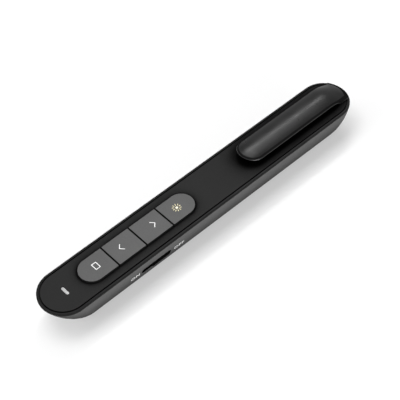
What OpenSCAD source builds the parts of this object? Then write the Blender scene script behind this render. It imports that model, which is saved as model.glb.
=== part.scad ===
// Wireless presentation clicker: a slim pocket remote with four keys, a sliding power
// switch, a laser pointer in its head, a pocket clip, and a USB receiver stowed in its tail.
// Millimetres.  +X is the head with the clip and the laser, -X the tail, +Z up.
// The origin is on the flat underside, at the middle of the body's length and width.

/* [Body] */
// Overall length of the body
body_l = 147; // [140:1:160]
// Overall width across the rim
body_w = 19.5; // [19:0.1:22]
// Height of the rim above the underside
body_h = 13.5; // [13.5:0.1:15]
// Wall thickness of the lower shell
wall = 1.4; // [1.2:0.05:1.5]
// How far each side curves in from the rim to the underside
side_sweep = 6.5; // [6:0.1:7]
// How far the tail curves in from the rim to the underside
tail_sweep = 7.5; // [6:0.5:9]
// How much the tail leans in for each millimetre of depth
tail_slope = 0.5; // [0.45:0.05:0.55]
// How far the head curves in from the rim to the underside
head_sweep = 8; // [7:0.5:10]
// How much the head leans in for each millimetre of depth
head_slope = 0.3; // [0.25:0.05:0.35]
// Depth shaved off the bottom of the curved hull so that it stands flat
flat_trim = 0.2; // [0.1:0.05:0.3]
// Gap between neighbouring parts that stay put
seat_gap = 0.05; // [0.04:0.01:0.08]
// Gap beside parts that slide
slide_gap = 0.15; // [0.1:0.05:0.2]

/* [Top] */
// Height of the rim above the lower shell
rim_t = 0.9; // [0.7:0.1:1.2]
// Width of the rim band
rim_w = 0.85; // [0.7:0.05:1]
// Width of the groove between the rim and the top plate
groove_w = 0.35; // [0.25:0.05:0.5]
// Depth of that groove
groove_d = 0.6; // [0.4:0.1:0.8]
// Thickness of the top plate
plate_t = 1.2; // [1:0.1:1.4]
// Chamfer round the upper edge of the plate
plate_chamfer = 0.18; // [0.1:0.02:0.3]
// Thickness of the ledge that carries the plate
ledge_t = 0.4; // [0.3:0.1:0.6]
// Width of the ledge under the plate
ledge_w = 1.65; // [1.3:0.05:1.7]

/* [Keys] */
// Distance of the middle of the key row from the tail
key_row_in = 42.3; // [40.5:0.1:43.5]
// Length of the whole key row
key_row_l = 51.3; // [48:0.1:54]
// Width of the keys
key_w = 10.4; // [9:0.1:10.6]
// Distance between the two dividing lines on each side of the middle one
key_pitch = 12.5; // [11:0.1:13]
// Gap between neighbouring keys
key_gap = 0.4; // [0.3:0.05:0.6]
// Gap between the row and the plate
key_margin = 0.3; // [0.2:0.05:0.4]
// Height of the keys above the plate
key_proud = 0.8; // [0.5:0.1:1.2]
// Travel of a key
key_travel = 0.4; // [0.3:0.05:0.45]
// Roundness of the upper edges of the row
key_round = 0.35; // [0.2:0.05:0.5]
// Width of the flange that keeps a key under the plate
key_flange = 0.9; // [0.7:0.05:0.95]

/* [Indicator] */
// Distance of the indicator from the tail
led_in = 9.9; // [8.5:0.1:11.5]
// Length of the indicator window across the body
led_w = 3.8; // [2.4:0.1:4.2]
// Width of the indicator window along the body
led_l = 1.3; // [1:0.1:1.8]

/* [Clip] */
// Distance of the free tip of the clip from the head end of the body
clip_reach = 54.5; // [48.5:0.5:58.5]
// Distance of the clip's round end from the outline of the body
clip_inset = 1.75; // [1.5:0.05:2]
// Width of the clip
clip_w = 11.3; // [9:0.1:12]
// Height of the crest of the clip above the plate
clip_h = 4.2; // [3.8:0.1:5]
// How much higher the crest is than the long edges
clip_crown = 1.6; // [1:0.1:1.8]
// Thickness of the blade along its middle
clip_t = 1; // [0.8:0.1:1.2]
// Thickness of the blade at its edges
clip_edge_t = 0.45; // [0.35:0.05:0.6]
// How much the crest drops at the tip
clip_droop = 0.7; // [0.5:0.1:1.5]
// Length of the bend that comes down to the head
clip_bend = 11; // [10:0.5:14]
// Length of the solid root of the clip
clip_root_l = 5.5; // [5:0.5:7]
// Place of the flex line, ahead of where the bend starts
clip_flex = 2; // [1:0.5:3]
// Width of the hairline at the flex line
flex_gap = 0.1; // [0.08:0.01:0.15]

/* [Power switch] */
// Middle of the switch slot, ahead of the middle of the key row
switch_shift = 0.2; // [-0.3:0.1:0.7]
// Length of the slot in the side wall
switch_slot_l = 13.5; // [11:0.5:14]
// Height of the slot in the side wall
switch_slot_h = 2.2; // [1.8:0.1:2.6]
// Travel of the switch
switch_travel = 4; // [3:0.5:4]
// How far the middle of the switch lies below the top of the board
switch_drop = 1; // [0.8:0.1:1.2]

/* [Circuit board] */
// Thickness of the circuit board
board_t = 1; // [0.8:0.1:1]
// Room between the board and the plate, for the switches and keys
board_room = 2.9; // [2.8:0.1:3]
// Width of the board
board_w = 14.4; // [13.6:0.1:14.4]
// Distance of the board's end from the tail
board_in = 5; // [4.5:0.1:5.5]
// Side of a push switch
tact_w = 4.5; // [4:0.1:4.8]
// Height of a push switch
tact_h = 1.5; // [1.4:0.05:1.5]

/* [Battery] */
// Diameter of the cell
cell_d = 10.5; // [10:0.1:10.5]
// Length of the cell with its terminal
cell_l = 44.5; // [42:0.5:45]
// Distance from the tail to the wall between the electronics and the cell
cell_wall_in = 69.7; // [69.5:0.1:70]
// Length taken by the coil spring
spring_l = 3; // [2.5:0.1:4]
// Height of the parting line of the battery cover
cover_h = 3.6; // [3.5:0.05:3.7]
// Distance of the guide rails from the middle
rail_y = 4.8; // [4.75:0.01:4.85]

/* [Laser] */
// Diameter of the laser barrel
barrel_d = 6; // [5:0.1:6.2]
// Length of the laser barrel
barrel_l = 12; // [10:0.5:13]
// How far the middle of the laser lies below the underside of the plate
laser_drop = 3.7; // [3.5:0.1:4.1]
// Diameter of the opening in the nose
aperture_d = 3.4; // [2.6:0.1:3.6]

/* [Receiver] */
// Width of the receiver cap
cap_w = 12.2; // [12.1:0.05:12.3]
// Thickness of the receiver cap
cap_t = 5.2; // [4.9:0.05:5.3]
// Length of the cap's lower face along its sides
cap_l = 9.1; // [8:0.1:10]
// How far the end of the cap leans out over its thickness
cap_lean = 4.25; // [3.5:0.05:4.5]
// Width of the plug
plug_w = 12; // [11.8:0.05:12]
// Thickness of the plug
plug_t = 4.5; // [4.4:0.05:4.6]
// Length of the plug
plug_l = 12.3; // [11:0.1:13]
// Sheet thickness of the plug
plug_sheet = 0.3; // [0.25:0.05:0.4]
// Distance from the tail to the joint between cap and plug when stowed
stow_in = 20.3; // [19.9:0.1:20.7]

/* [Hidden] */
$fn = 48;
big = 300;

// Heights of the stack, from the rim down
shell_h = body_h - rim_t;
plate_z = body_h - plate_t;
ledge_z = plate_z - ledge_t;
board_z = plate_z - board_room;
board_under = board_z - board_t;
switch_z = board_z - switch_drop;
laser_z = plate_z - laser_drop;
roof_t = 0.9;

// Places along the body, from the tail or from the head
tail_x = -body_l / 2;
head_x = body_l / 2;
led_x = tail_x + led_in;
key_row_x = tail_x + key_row_in;
switch_x = key_row_x + switch_shift;
board_x0 = tail_x + board_in;
cell_wall_x = tail_x + cell_wall_in;
stow_x = tail_x + stow_in;
clip_tip_x = head_x - clip_reach;

// Half widths, from the rim inwards
rim_r = body_w / 2;
plate_r = rim_r - rim_w - groove_w;
plate_l = body_l - 2 * (rim_w + groove_w);
web_out = rim_r - rim_w + 0.1;
ledge_in = plate_r - ledge_w;

// ---------------------------------------------------------------- shared shapes

// One ring of the hull: off is the depth below the outer skin, t runs from 0 at the
// rim to 90 on the underside
arc_steps = 18;
function ring_w(t, off) = rim_r - off - side_sweep * (1 - cos(t));
function ring_z(t, off) = shell_h - (shell_h + flat_trim - off) * sin(t);
function ring_drop(t, off) = shell_h - ring_z(t, off);
function ring_head(t, off) = head_x - off
    - head_slope * ring_drop(t, off) - head_sweep * (1 - cos(t));
function ring_tail(t, off) = tail_x + off
    + tail_slope * ring_drop(t, off) + tail_sweep * (1 - cos(t));
function hull_ring(t, off, z) = let (w = ring_w(t, off)) concat(
    [for (i = [0:arc_steps]) let (a = -90 + 180 * i / arc_steps)
        [ring_head(t, off) - w + w * cos(a), w * sin(a), z]],
    [for (i = [0:arc_steps]) let (a = 90 + 180 * i / arc_steps)
        [ring_tail(t, off) + w + w * cos(a), w * sin(a), z]]);

// Closed skin through equal rings of points, listed from the top down
module skin(rings) {
    n = len(rings[0]);
    m = len(rings);
    polyhedron(
        points = [for (r = rings) for (p = r) p],
        faces = concat(
            [[for (i = [n - 1:-1:0]) i]],
            [for (k = [0:m - 2]) for (i = [0:n - 1]) let (j = (i + 1) % n)
                [k * n + i, k * n + j, (k + 1) * n + j, (k + 1) * n + i]],
            [[for (i = [0:n - 1]) (m - 1) * n + i]]));
}

// The boat-shaped hull, off millimetres below its outer skin, open end raised by lift
module hull_solid(off = 0, lift = 0) {
    steps = 9;
    rings = [for (k = [0:steps]) let (t = 90 * k / steps) hull_ring(t, off, ring_z(t, off))];
    skin(lift > 0 ? concat([hull_ring(0, off, shell_h + lift)], rings) : rings);
}

// Box given by its two corners
module block(a, b) {
    translate(a) cube([b[0] - a[0], b[1] - a[1], b[2] - a[2]]);
}

// Box from x0 to x1 and z0 to z1, y millimetres to each side
module bar(x0, x1, y, z0, z1) {
    block([x0, -y, z0], [x1, y, z1]);
}

// Flat stadium outline, l long and w wide
module stadium(l, w) {
    square([l - w, w], center = true);
    for (s = [-1, 1]) translate([s * (l - w) / 2, 0]) circle(d = w);
}

// Sweeps a half profile (distance from the middle, height) round a stadium
module stadium_sweep(l, w) {
    run = l - w;
    translate([-run / 2, 0, 0]) rotate([90, 0, 90]) linear_extrude(run) {
        children();
        mirror([1, 0]) children();
    }
    for (s = [0, 180])
        rotate(s) translate([run / 2, 0, 0]) rotate(-90) rotate_extrude(angle = 180) children();
}

// Rectangle with round corners
module round_rect(w, h, r) {
    square([w - 2 * r, h], center = true);
    square([w, h - 2 * r], center = true);
    for (x = [-1, 1]) for (y = [-1, 1]) translate([x * (w / 2 - r), y * (h / 2 - r)]) circle(r);
}

// Cylinder along X from x0 to x1
module rod_x(x0, x1, d) {
    translate([x0, 0, 0]) rotate([0, 90, 0]) cylinder(h = x1 - x0, d = d);
}

// ---------------------------------------------------------------- receiver sizes

cap_top = board_under - roof_t - slide_gap;
cap_z = cap_top - cap_t;
cap_bow = 1.8;
cap_round = 0.7;
lean_angle = atan(cap_lean / cap_t);
bow_depth = cap_bow * cos(lean_angle);
bow_r = (pow(cap_w / 2, 2) + pow(bow_depth, 2)) / (2 * bow_depth);
bay_y = cap_w / 2 + slide_gap;
pocket_x = stow_x + plug_l + slide_gap;
pocket_wall = 1.1;

// ---------------------------------------------------------------- lower shell

// Snap hooks of the frame: places along the body, sizes
hook_back = 42.5;
hook_xs = [stow_x + 6.2, cell_wall_x - 5.2, head_x - hook_back];
hook_l = 4;
hook_y = 7.4;
hook_t = 0.7;
hook_drop = 1.9;
barb_out = 0.5;

// Locating pins and screws of the circuit board
pin_x = led_x + 1.1;
pin_y = 5.6;
pin_d = 1.4;
screw_y = 4.7;
screw_places = [[key_row_x + key_pitch - 0.3, screw_y], [cell_wall_x - 4.2, -screw_y]];
screw_d = 1.6;
screw_bite = 3.5;
boss_d = 3.6;
screw_head_d = 2.8;

// Cell and contacts along the body
cell_z = wall + 0.1 + cell_d / 2;
cell_wall_t = 1.2;
contact_t = 0.4;
contact_x = cell_wall_x + cell_wall_t + seat_gap;
cell_x = contact_x + contact_t + spring_l;
nub_h = 0.9;
nub_contact_x = cell_x + cell_l + 0.6;
nub_wall_x = nub_contact_x + contact_t + seat_gap;
cover_x = cell_wall_x + cell_wall_t + 0.6;

// Wires
wire_d = 0.7;
wire_y = 6.2;
wire_z = board_z + wire_d / 2;
wire_step = 0.9;
wire_bend = 0.8;
wire_pad = 1.6;

// Laser
barrel_x = nub_wall_x + cell_wall_t + 3.3;
laser_board_x = barrel_x - 1.6;
nose_t = asin((shell_h - laser_z) / (shell_h + flat_trim));
nose_x = ring_head(nose_t, wall);
window_d = aperture_d + 1.2;
window_t = 0.8;
window_x = nose_x - 1;
sleeve_t = 0.5;

// Guide rails of the battery cover
rail_web = 0.6;
rail_flange = 0.55;
rail_z = 2.25;
rail_flange_t = 0.55;
rail_x0 = cover_x + 4;
rail_back = 16.5;
rail_x1 = head_x - rail_back;
shelf_t = 0.65;

// Switch in the side wall
knob_l = switch_slot_l - switch_travel - 0.9;
knob_plate_l = switch_slot_l + switch_travel - 0.5;
knob_plate_h = 3.6;
knob_plate_y = 8.25;
knob_plate_t = 0.75;
switch_can = [9, 3, 2.8];
switch_can_y = 6.9;
knob_rest = switch_travel / 2;

module receiver_bay() {
    // channel of the cap, open below and at the tail
    block([-big, -bay_y, -big], [stow_x + slide_gap, bay_y, cap_top + slide_gap]);
    // closed pocket of the plug
    block([stow_x, -plug_w / 2 - slide_gap, cap_z - slide_gap],
        [pocket_x, plug_w / 2 + slide_gap, cap_z + plug_t + slide_gap]);
}

module cross_wall(x, t, z0, z1) {
    bar(x, x + t, rim_r, z0, z1);
}

module shell_inside() {
    intersection() {
        hull_solid(wall / 2);
        union() {
            // block that houses the receiver
            bar(tail_x, pocket_x + pocket_wall, rim_r, -1, board_under);
            // posts under the circuit board
            for (p = screw_places)
                translate([p[0], p[1], 0]) cylinder(h = board_under, d = boss_d);
            // walls at both ends of the cell
            cross_wall(cell_wall_x, cell_wall_t, -1, ledge_z - 0.5);
            cross_wall(nub_wall_x, cell_wall_t, cover_h + seat_gap, ledge_z - 0.5);
            // cheeks beside the cell
            for (f = [0.25, 0.75])
                cross_wall(cell_x + f * cell_l, cell_wall_t, cell_z, ledge_z - 0.1);
            // cradles of the laser barrel
            for (x = [barrel_x + 1.5, barrel_x + barrel_l - 2.7])
                cross_wall(x, cell_wall_t, cover_h + seat_gap, laser_z);
            // sleeve that holds the laser window
            translate([0, 0, laser_z]) rod_x(window_x - 0.2, nose_x + wall / 2, window_d + 2 * sleeve_t);
            // shelves that carry the guide rails
            for (s = [-1, 1])
                block([rail_x0, s > 0 ? rail_y : -rim_r, cover_h + seat_gap],
                    [rail_x1, s > 0 ? rim_r : -rail_y, cover_h + seat_gap + shelf_t]);
        }
    }
}

module cover_rails(gap = 0) {
    for (s = [0, 1]) mirror([0, s, 0]) {
        block([rail_x0 - gap, rail_y - gap, rail_z - gap],
            [rail_x1 + gap, rail_y + rail_web + gap, cover_h + 0.3]);
        block([rail_x0 - gap, rail_y - gap, rail_z - gap],
            [rail_x1 + gap, rail_y + rail_web + rail_flange + gap, rail_z + rail_flange_t + gap]);
    }
}

module bottom_shell() {
    color([0.24, 0.24, 0.25]) {
        difference() {
            union() {
                difference() {
                    hull_solid();
                    hull_solid(wall, lift = 2);
                }
                shell_inside();
            }
            // flat underside
            bar(-big, big, big, -5, 0);
            // opening for the battery cover
            bar(cover_x, big, big, -5, cover_h);
            receiver_bay();
            // step that seats the frame
            translate([0, 0, ledge_z - seat_gap]) linear_extrude(5)
                stadium(body_l - 2 * (rim_r - web_out - seat_gap), 2 * (web_out + seat_gap));
            // windows for the snap hooks
            for (x = hook_xs) for (s = [-1, 1])
                translate([x, s * (hook_y + hook_t + barb_out / 2), ledge_z - hook_drop + 0.4])
                    cube([hook_l + 0.6, barb_out + 0.4, 1.3], center = true);
            // slot of the power switch and the pocket behind it
            translate([switch_x, -rim_r + 2, switch_z]) rotate([90, 0, 0]) linear_extrude(5)
                stadium(switch_slot_l, switch_slot_h);
            block([switch_x - (knob_plate_l + switch_travel) / 2 - slide_gap, -knob_plate_y - 0.05,
                    switch_z - knob_plate_h / 2 - slide_gap],
                [switch_x + (knob_plate_l + switch_travel) / 2 + slide_gap, -rim_r + 3,
                    switch_z + knob_plate_h / 2 + slide_gap]);
            // seat of the magnet
            translate([magnet_x, 0, board_under - magnet_t]) cylinder(h = 2, d = magnet_d + 0.1);
            // pilot holes of the board screws
            for (p = screw_places)
                translate([p[0], p[1], board_under - 4]) cylinder(h = 9, d = screw_d);
            // round seats of the cell and the barrel
            translate([0, 0, cell_z]) rod_x(cell_x - 0.5, nub_contact_x - 0.5, cell_d + 0.2);
            translate([0, 0, laser_z]) rod_x(barrel_x, barrel_x + barrel_l, barrel_d + 0.06);
            // opening of the laser, with a seat for its window
            translate([0, 0, laser_z]) rod_x(window_x - 2, big, aperture_d);
            translate([0, 0, laser_z]) rod_x(window_x - 2, window_x + window_t, window_d);
            // notches for the wires and the spring contact
            for (s = [-1, 1])
                block([cell_wall_x - 1, s * wire_y - 0.7, board_z - 0.2],
                    [laser_board_x + 3, s * wire_y + 0.7, ledge_z]);
            bar(cell_wall_x - 1, cell_wall_x + cell_wall_t + 0.01, 1.7, board_z - 0.2, ledge_z);
        }
        cover_rails();
        // pins that locate the circuit board
        for (s = [-1, 1]) translate([pin_x, s * pin_y, board_under - 0.3])
            cylinder(h = board_t + 0.3, d = pin_d);
    }
}

// ---------------------------------------------------------------- top

module frame_profile() {
    lip = 0.2;
    // rim band with a softened outer edge
    polygon([[rim_r - rim_w, shell_h], [rim_r, shell_h], [rim_r, body_h - lip],
        [rim_r - lip, body_h], [rim_r - rim_w, body_h]]);
    // web under the groove
    polygon([[plate_r + seat_gap, ledge_z], [web_out, ledge_z], [web_out, body_h - groove_d],
        [plate_r + seat_gap, body_h - groove_d]]);
    // ledge under the plate
    polygon([[ledge_in, ledge_z], [web_out, ledge_z], [web_out, plate_z], [ledge_in, plate_z]]);
}

stake_back = 21.5;
stake_xs = [pin_x + 6.5, cell_wall_x + 8.8, head_x - stake_back];
stake_y = 7.6;
stake_d = 1.1;

module top_frame() {
    color([0.16, 0.16, 0.17]) difference() {
        union() {
            stadium_sweep(body_l, body_w) frame_profile();
            for (x = hook_xs) for (s = [0, 1]) mirror([0, s, 0]) snap_hook(x);
        }
        for (x = stake_xs) for (s = [-1, 1])
            translate([x, s * stake_y, ledge_z - 1]) cylinder(h = 3, d = stake_d + 0.1);
    }
}

// One hook: a springy leg with a wedge that catches in the shell's window
module snap_hook(x) {
    z0 = ledge_z - hook_drop;
    translate([x - hook_l / 2, 0, 0]) rotate([90, 0, 90]) linear_extrude(hook_l)
        polygon([[hook_y, z0], [hook_y + hook_t, z0], [hook_y + hook_t + barb_out, z0 + 0.5],
            [hook_y + hook_t + barb_out, z0 + 0.75], [hook_y + hook_t, z0 + 0.75],
            [hook_y + hook_t, ledge_z + 0.1], [hook_y, ledge_z + 0.1]]);
}

// Root of the clip below the plate
anchor_l = 3.2;
anchor_x1 = head_x - clip_inset - 2.35;
anchor_x0 = anchor_x1 - anchor_l;
anchor_y = 4.2;

module plate_profile() {
    polygon([[0, plate_z], [plate_r, plate_z], [plate_r, body_h - plate_chamfer],
        [plate_r - plate_chamfer, body_h], [0, body_h]]);
}

guide_t = 0.55;
guide_drop = 0.95;
guide_gap = key_flange + 0.1;

module top_plate() {
    color([0.19, 0.19, 0.2]) difference() {
        union() {
            stadium_sweep(plate_l, 2 * plate_r) plate_profile();
            // wall that guides the key flanges
            translate([key_row_x, 0, plate_z - guide_drop]) linear_extrude(guide_drop + 0.1)
                difference() {
                    stadium(key_row_l + 2 * (guide_gap + guide_t), key_w + 2 * (guide_gap + guide_t));
                    stadium(key_row_l + 2 * guide_gap, key_w + 2 * guide_gap);
                }
            // stakes through the ledge of the frame
            for (x = stake_xs) for (s = [-1, 1])
                translate([x, s * stake_y, ledge_z]) cylinder(h = ledge_t + 0.1, d = stake_d);
        }
        translate([key_row_x, 0, plate_z - 0.01]) linear_extrude(5)
            stadium(key_row_l + 2 * key_margin, key_w + 2 * key_margin);
        translate([led_x, 0, plate_z - 1]) rotate(90) linear_extrude(5) stadium(led_w, led_l);
        bar(anchor_x0 - seat_gap, anchor_x1 + seat_gap, anchor_y + seat_gap, plate_z - 1, body_h + 1);
    }
}

module led_window() {
    pipe_z = board_z + 0.6;
    color([0.8, 0.8, 0.8]) translate([led_x, 0, 0]) rotate(90) {
        translate([0, 0, pipe_z]) linear_extrude(body_h - 0.15 - pipe_z)
            stadium(led_w - 0.1, led_l - 0.1);
        translate([0, 0, plate_z - 0.5]) linear_extrude(0.5) stadium(led_w + 1, led_l + 1);
    }
}

// ---------------------------------------------------------------- clip

clip_end_x = head_x - clip_inset;
end_r = rim_r - clip_inset;
end_blunt = 0.25;
bend_x = clip_end_x - clip_bend;
flex_x = bend_x + clip_flex;
root_x = clip_end_x - clip_root_l;
tip_r = clip_w / 2;
crest_steps = 7;

// Height of the crest above the plate
function crest(x) = x > bend_x ? clip_h * (1 - pow((x - bend_x) / clip_bend, 2))
    : x < clip_tip_x + tip_r ? clip_h - clip_droop * pow(1 - (x - clip_tip_x) / tip_r, 2)
    : clip_h;
// Half width of the clip: a round tip, straight sides, then an end that follows the rim
function end_circle(x) = sqrt(max(0.01, pow(end_r, 2) - pow(x - (head_x - rim_r), 2)));
function clip_half(x) = x < clip_tip_x + tip_r
    ? sqrt(max(0.01, pow(tip_r, 2) - pow(clip_tip_x + tip_r - x, 2)))
    : min(tip_r, end_circle(max(x, head_x - rim_r)));
// How far the edge lies below the crest
function crown(x) = min(clip_crown * pow(clip_half(x) / tip_r, 2), 0.6 * crest(x));
// Thickness of the blade, which thins out to its edges and its tip
function blade_t(x, u) = clip_edge_t + (clip_t - clip_edge_t) * (1 - u * u)
    * (x < clip_tip_x + tip_r ? pow(clip_half(x) / tip_r, 2) : 1);
// Height of the underside: a blade that thickens into the solid root
function clip_under(x, u, top) = x >= root_x ? 0
    : x > flex_x ? (top - blade_t(x, u)) * (1 - pow((x - flex_x) / (root_x - flex_x), 3))
    : top - blade_t(x, u);
function clip_ring(x) = let (w = clip_half(x)) concat(
    [for (i = [-crest_steps:crest_steps]) let (u = i / crest_steps)
        [x, u * w, body_h + crest(x) - crown(x) * u * u]],
    [for (i = [crest_steps:-1:-crest_steps]) let (u = i / crest_steps)
        [x, u * w, body_h + clip_under(x, u, crest(x) - crown(x) * u * u)]]);

module pocket_clip() {
    tip = [for (a = [8, 18, 30, 42, 56, 72, 90]) clip_tip_x + tip_r * (1 - cos(a))];
    tip_x = clip_tip_x + tip_r;
    blade = concat(tip, [for (k = [1:3]) tip_x + (bend_x - tip_x) * k / 3], [flex_x - flex_gap]);
    color([0.2, 0.2, 0.21]) union() {
        skin([for (x = blade) clip_ring(x)]);
        // rib across the tip that grips the cloth
        nub_r = 1.6;
        nub_rise = 0.5;
        translate([clip_tip_x + 5, 0, body_h + nub_rise + nub_r]) rotate([90, 0, 0])
            cylinder(h = 5, r = nub_r, center = true);
    }
}

module clip_root() {
    bend = concat([for (k = [0:4]) flex_x + (root_x - flex_x) * k / 4],
        [for (k = [1:7]) root_x + (clip_end_x - end_blunt - root_x) * sin(90 * k / 7)]);
    color([0.2, 0.2, 0.21]) difference() {
        union() {
            skin([for (x = bend) clip_ring(x)]);
            // foot that drops through the plate
            bar(anchor_x0, anchor_x1, anchor_y, plate_z, body_h + 0.3);
        }
        for (s = [-1, 1]) translate([clip_screw_x, s * clip_screw_y, plate_z - 1])
            cylinder(h = 2.9, d = screw_d);
    }
}

clip_screw_x = (anchor_x0 + anchor_x1) / 2;
clip_screw_y = 2.6;
washer_t = 0.8;
washer_z = plate_z - seat_gap - washer_t;

module clip_washer() {
    color([0.7, 0.7, 0.72]) difference() {
        intersection() {
            bar(anchor_x0 - 1.2, anchor_x1 + 0.3, anchor_y + 0.9, washer_z, washer_z + washer_t);
            translate([head_x - rim_r, 0, 0]) cylinder(h = big, r = ledge_in - 0.15);
        }
        for (s = [-1, 1]) translate([clip_screw_x, s * clip_screw_y, washer_z - 1])
            cylinder(h = 3, d = screw_d + 0.1);
    }
}

// Pan head screw standing on its tip, head at z = 0
module pan_screw(l, head_h) {
    cylinder(h = l, d = screw_d - 0.1);
    difference() {
        translate([0, 0, -head_h]) cylinder(h = head_h, d = screw_head_d);
        for (a = [0, 90]) rotate(a)
            translate([0, 0, -head_h]) cube([1.7, 0.35, 0.8], center = true);
    }
}

module clip_screws() {
    color([0.6, 0.6, 0.62]) for (s = [-1, 1])
        translate([clip_screw_x, s * clip_screw_y, washer_z]) pan_screw(washer_t + 1.8, 0.7);
}

// ---------------------------------------------------------------- keys

tact_xs = [key_row_x - key_pitch - (key_row_l / 2 - key_pitch) / 2, key_row_x - key_pitch / 2,
    key_row_x + key_pitch / 2, key_row_x + key_pitch + (key_row_l / 2 - key_pitch) / 2];
flange_t = 0.4;
flange_z = plate_z - slide_gap - flange_t;
key_top = body_h + key_proud;
tact_top = board_z + tact_h;
post_z = tact_top + key_travel;
stem_d = 1.8;

// Solid of the whole row with rounded upper edges
module key_row_solid() {
    r = key_w / 2;
    stadium_sweep(key_row_l, key_w) union() {
        polygon([[0, flange_z], [r, flange_z], [r, key_top - key_round],
            [r - key_round, key_top - key_round], [r - key_round, key_top], [0, key_top]]);
        translate([r - key_round, key_top - key_round]) intersection() {
            circle(key_round);
            square(key_round);
        }
    }
}

// One key: the slice of the row from x0 to x1, hollow below, with a flange and a post
module key(x0, x1, tact_x) {
    edge = 0.2;
    skin_t = 1;
    color([0.4, 0.4, 0.41]) difference() {
        union() {
            intersection() {
                union() {
                    translate([key_row_x, 0, 0]) key_row_solid();
                    translate([key_row_x, 0, flange_z]) linear_extrude(flange_t)
                        stadium(key_row_l + 2 * key_flange, key_w + 2 * key_flange);
                }
                translate([0, rim_r, 0]) rotate([90, 0, 0]) linear_extrude(2 * rim_r)
                    polygon([[x0, 0], [x1, 0], [x1, key_top - edge], [x1 - edge, key_top],
                        [x0 + edge, key_top], [x0, key_top - edge]]);
            }
        }
        difference() {
            bar(max(x0, key_row_x - key_row_l / 2 + 2) + skin_t,
                min(x1, key_row_x + key_row_l / 2 - 2) - skin_t,
                key_w / 2 - skin_t, 0, key_top - skin_t);
            translate([tact_x, 0, 0]) cylinder(h = key_top, d = 2.6);
        }
    }
    color([0.4, 0.4, 0.41]) translate([tact_x, 0, post_z]) cylinder(h = flange_z - post_z + 0.2, d = 2.6);
}

row_x0 = key_row_x - key_row_l / 2 - key_flange;
row_x1 = key_row_x + key_row_l / 2 + key_flange;
half_gap = key_gap / 2;

module key_screen() { key(row_x0, key_row_x - key_pitch - half_gap, tact_xs[0]); }
module key_back() { key(key_row_x - key_pitch + half_gap, key_row_x - half_gap, tact_xs[1]); }
module key_next() { key(key_row_x + half_gap, key_row_x + key_pitch - half_gap, tact_xs[2]); }
module key_laser() { key(key_row_x + key_pitch + half_gap, row_x1, tact_xs[3]); }

// Plunger of a push switch, pressed by the post of its key
module stem(x) {
    color([0.85, 0.85, 0.82]) translate([x, 0, tact_top - 0.6])
        cylinder(h = 0.6 + key_travel, d = stem_d);
}

module stem_screen() { stem(tact_xs[0]); }
module stem_back() { stem(tact_xs[1]); }
module stem_next() { stem(tact_xs[2]); }
module stem_laser() { stem(tact_xs[3]); }

// Housing of a push switch with four soldered feet
module tact(x) {
    color([0.25, 0.25, 0.26]) translate([x, 0, board_z]) difference() {
        union() {
            translate([0, 0, tact_h / 2]) cube([tact_w, tact_w, tact_h], center = true);
            for (sx = [-1, 1]) for (sy = [-1, 1])
                translate([sx * tact_w * 0.36, sy * (tact_w / 2 + 0.3), 0.15])
                    cube([0.6, 1, 0.3], center = true);
        }
        translate([0, 0, 0.3]) cylinder(h = tact_h, d = stem_d + 0.1);
    }
}

module tact_screen() { tact(tact_xs[0]); }
module tact_back() { tact(tact_xs[1]); }
module tact_next() { tact(tact_xs[2]); }
module tact_laser() { tact(tact_xs[3]); }

// ---------------------------------------------------------------- circuit board

board_x1 = cell_wall_x - 0.4;
notch_gap = 0.4;

module main_board() {
    color([0.1, 0.32, 0.2]) difference() {
        translate([0, 0, board_under]) linear_extrude(board_t) {
            translate([board_x0 + board_w / 2, 0]) circle(d = board_w);
            translate([board_x0 + board_w / 2, -board_w / 2])
                square([board_x1 - board_x0 - board_w / 2, board_w]);
        }
        // notch for the power switch
        block([switch_x - switch_can[0] / 2 - notch_gap, -rim_r, 0],
            [switch_x + switch_can[0] / 2 + notch_gap, -switch_can_y + switch_can[1] + notch_gap, big]);
        for (s = [-1, 1]) translate([pin_x, s * pin_y, 0]) cylinder(h = big, d = pin_d + 0.1);
        for (p = screw_places) translate([p[0], p[1], 0]) cylinder(h = big, d = screw_d + 0.2);
    }
}

module board_screws() {
    color([0.6, 0.6, 0.62]) for (p = screw_places)
        translate([p[0], p[1], board_z]) mirror([0, 0, 1]) pan_screw(board_t + screw_bite, 0.8);
}

// Small part standing on the board, centred at x and y
module on_board(x, y, size) {
    translate([x, y, board_z + size[2] / 2]) cube(size, center = true);
}

module radio_chip() { color([0.08, 0.08, 0.09]) on_board(key_row_x, 1.8, [5, 5, 0.85]); }
module crystal() { color([0.75, 0.75, 0.72]) on_board(key_row_x - key_pitch, 2.5, [2.5, 3.2, 0.7]); }
module chip_antenna() { color([0.85, 0.85, 0.9]) on_board(led_x - 2.6, 0, [1.6, 3.2, 1]); }

coil_d = 3.6;
coil_h = 1.3;
coil_flange_t = 0.3;

module boost_coil() {
    color([0.3, 0.28, 0.26]) translate([key_row_x + key_pitch, -3, board_z]) {
        cylinder(h = coil_flange_t, d = coil_d);
        cylinder(h = coil_h, d = coil_d - 1.6);
        translate([0, 0, coil_h - coil_flange_t]) cylinder(h = coil_flange_t, d = coil_d);
    }
}

capacitor = [1, 0.5, 0.5];
capacitor_step = 1.6;

module chip_capacitors() {
    color([0.7, 0.6, 0.45]) for (i = [-1.5:1.5]) {
        on_board(key_row_x + capacitor_step * i, board_w / 2 - 1.8, capacitor);
        on_board(key_row_x - key_pitch, -3.3 - 0.75 * capacitor_step * i, capacitor);
    }
}
module status_led() { color([0.9, 0.9, 0.8]) on_board(led_x, 0, [0.8, 1.6, 0.5]); }

// ---------------------------------------------------------------- power switch

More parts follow.
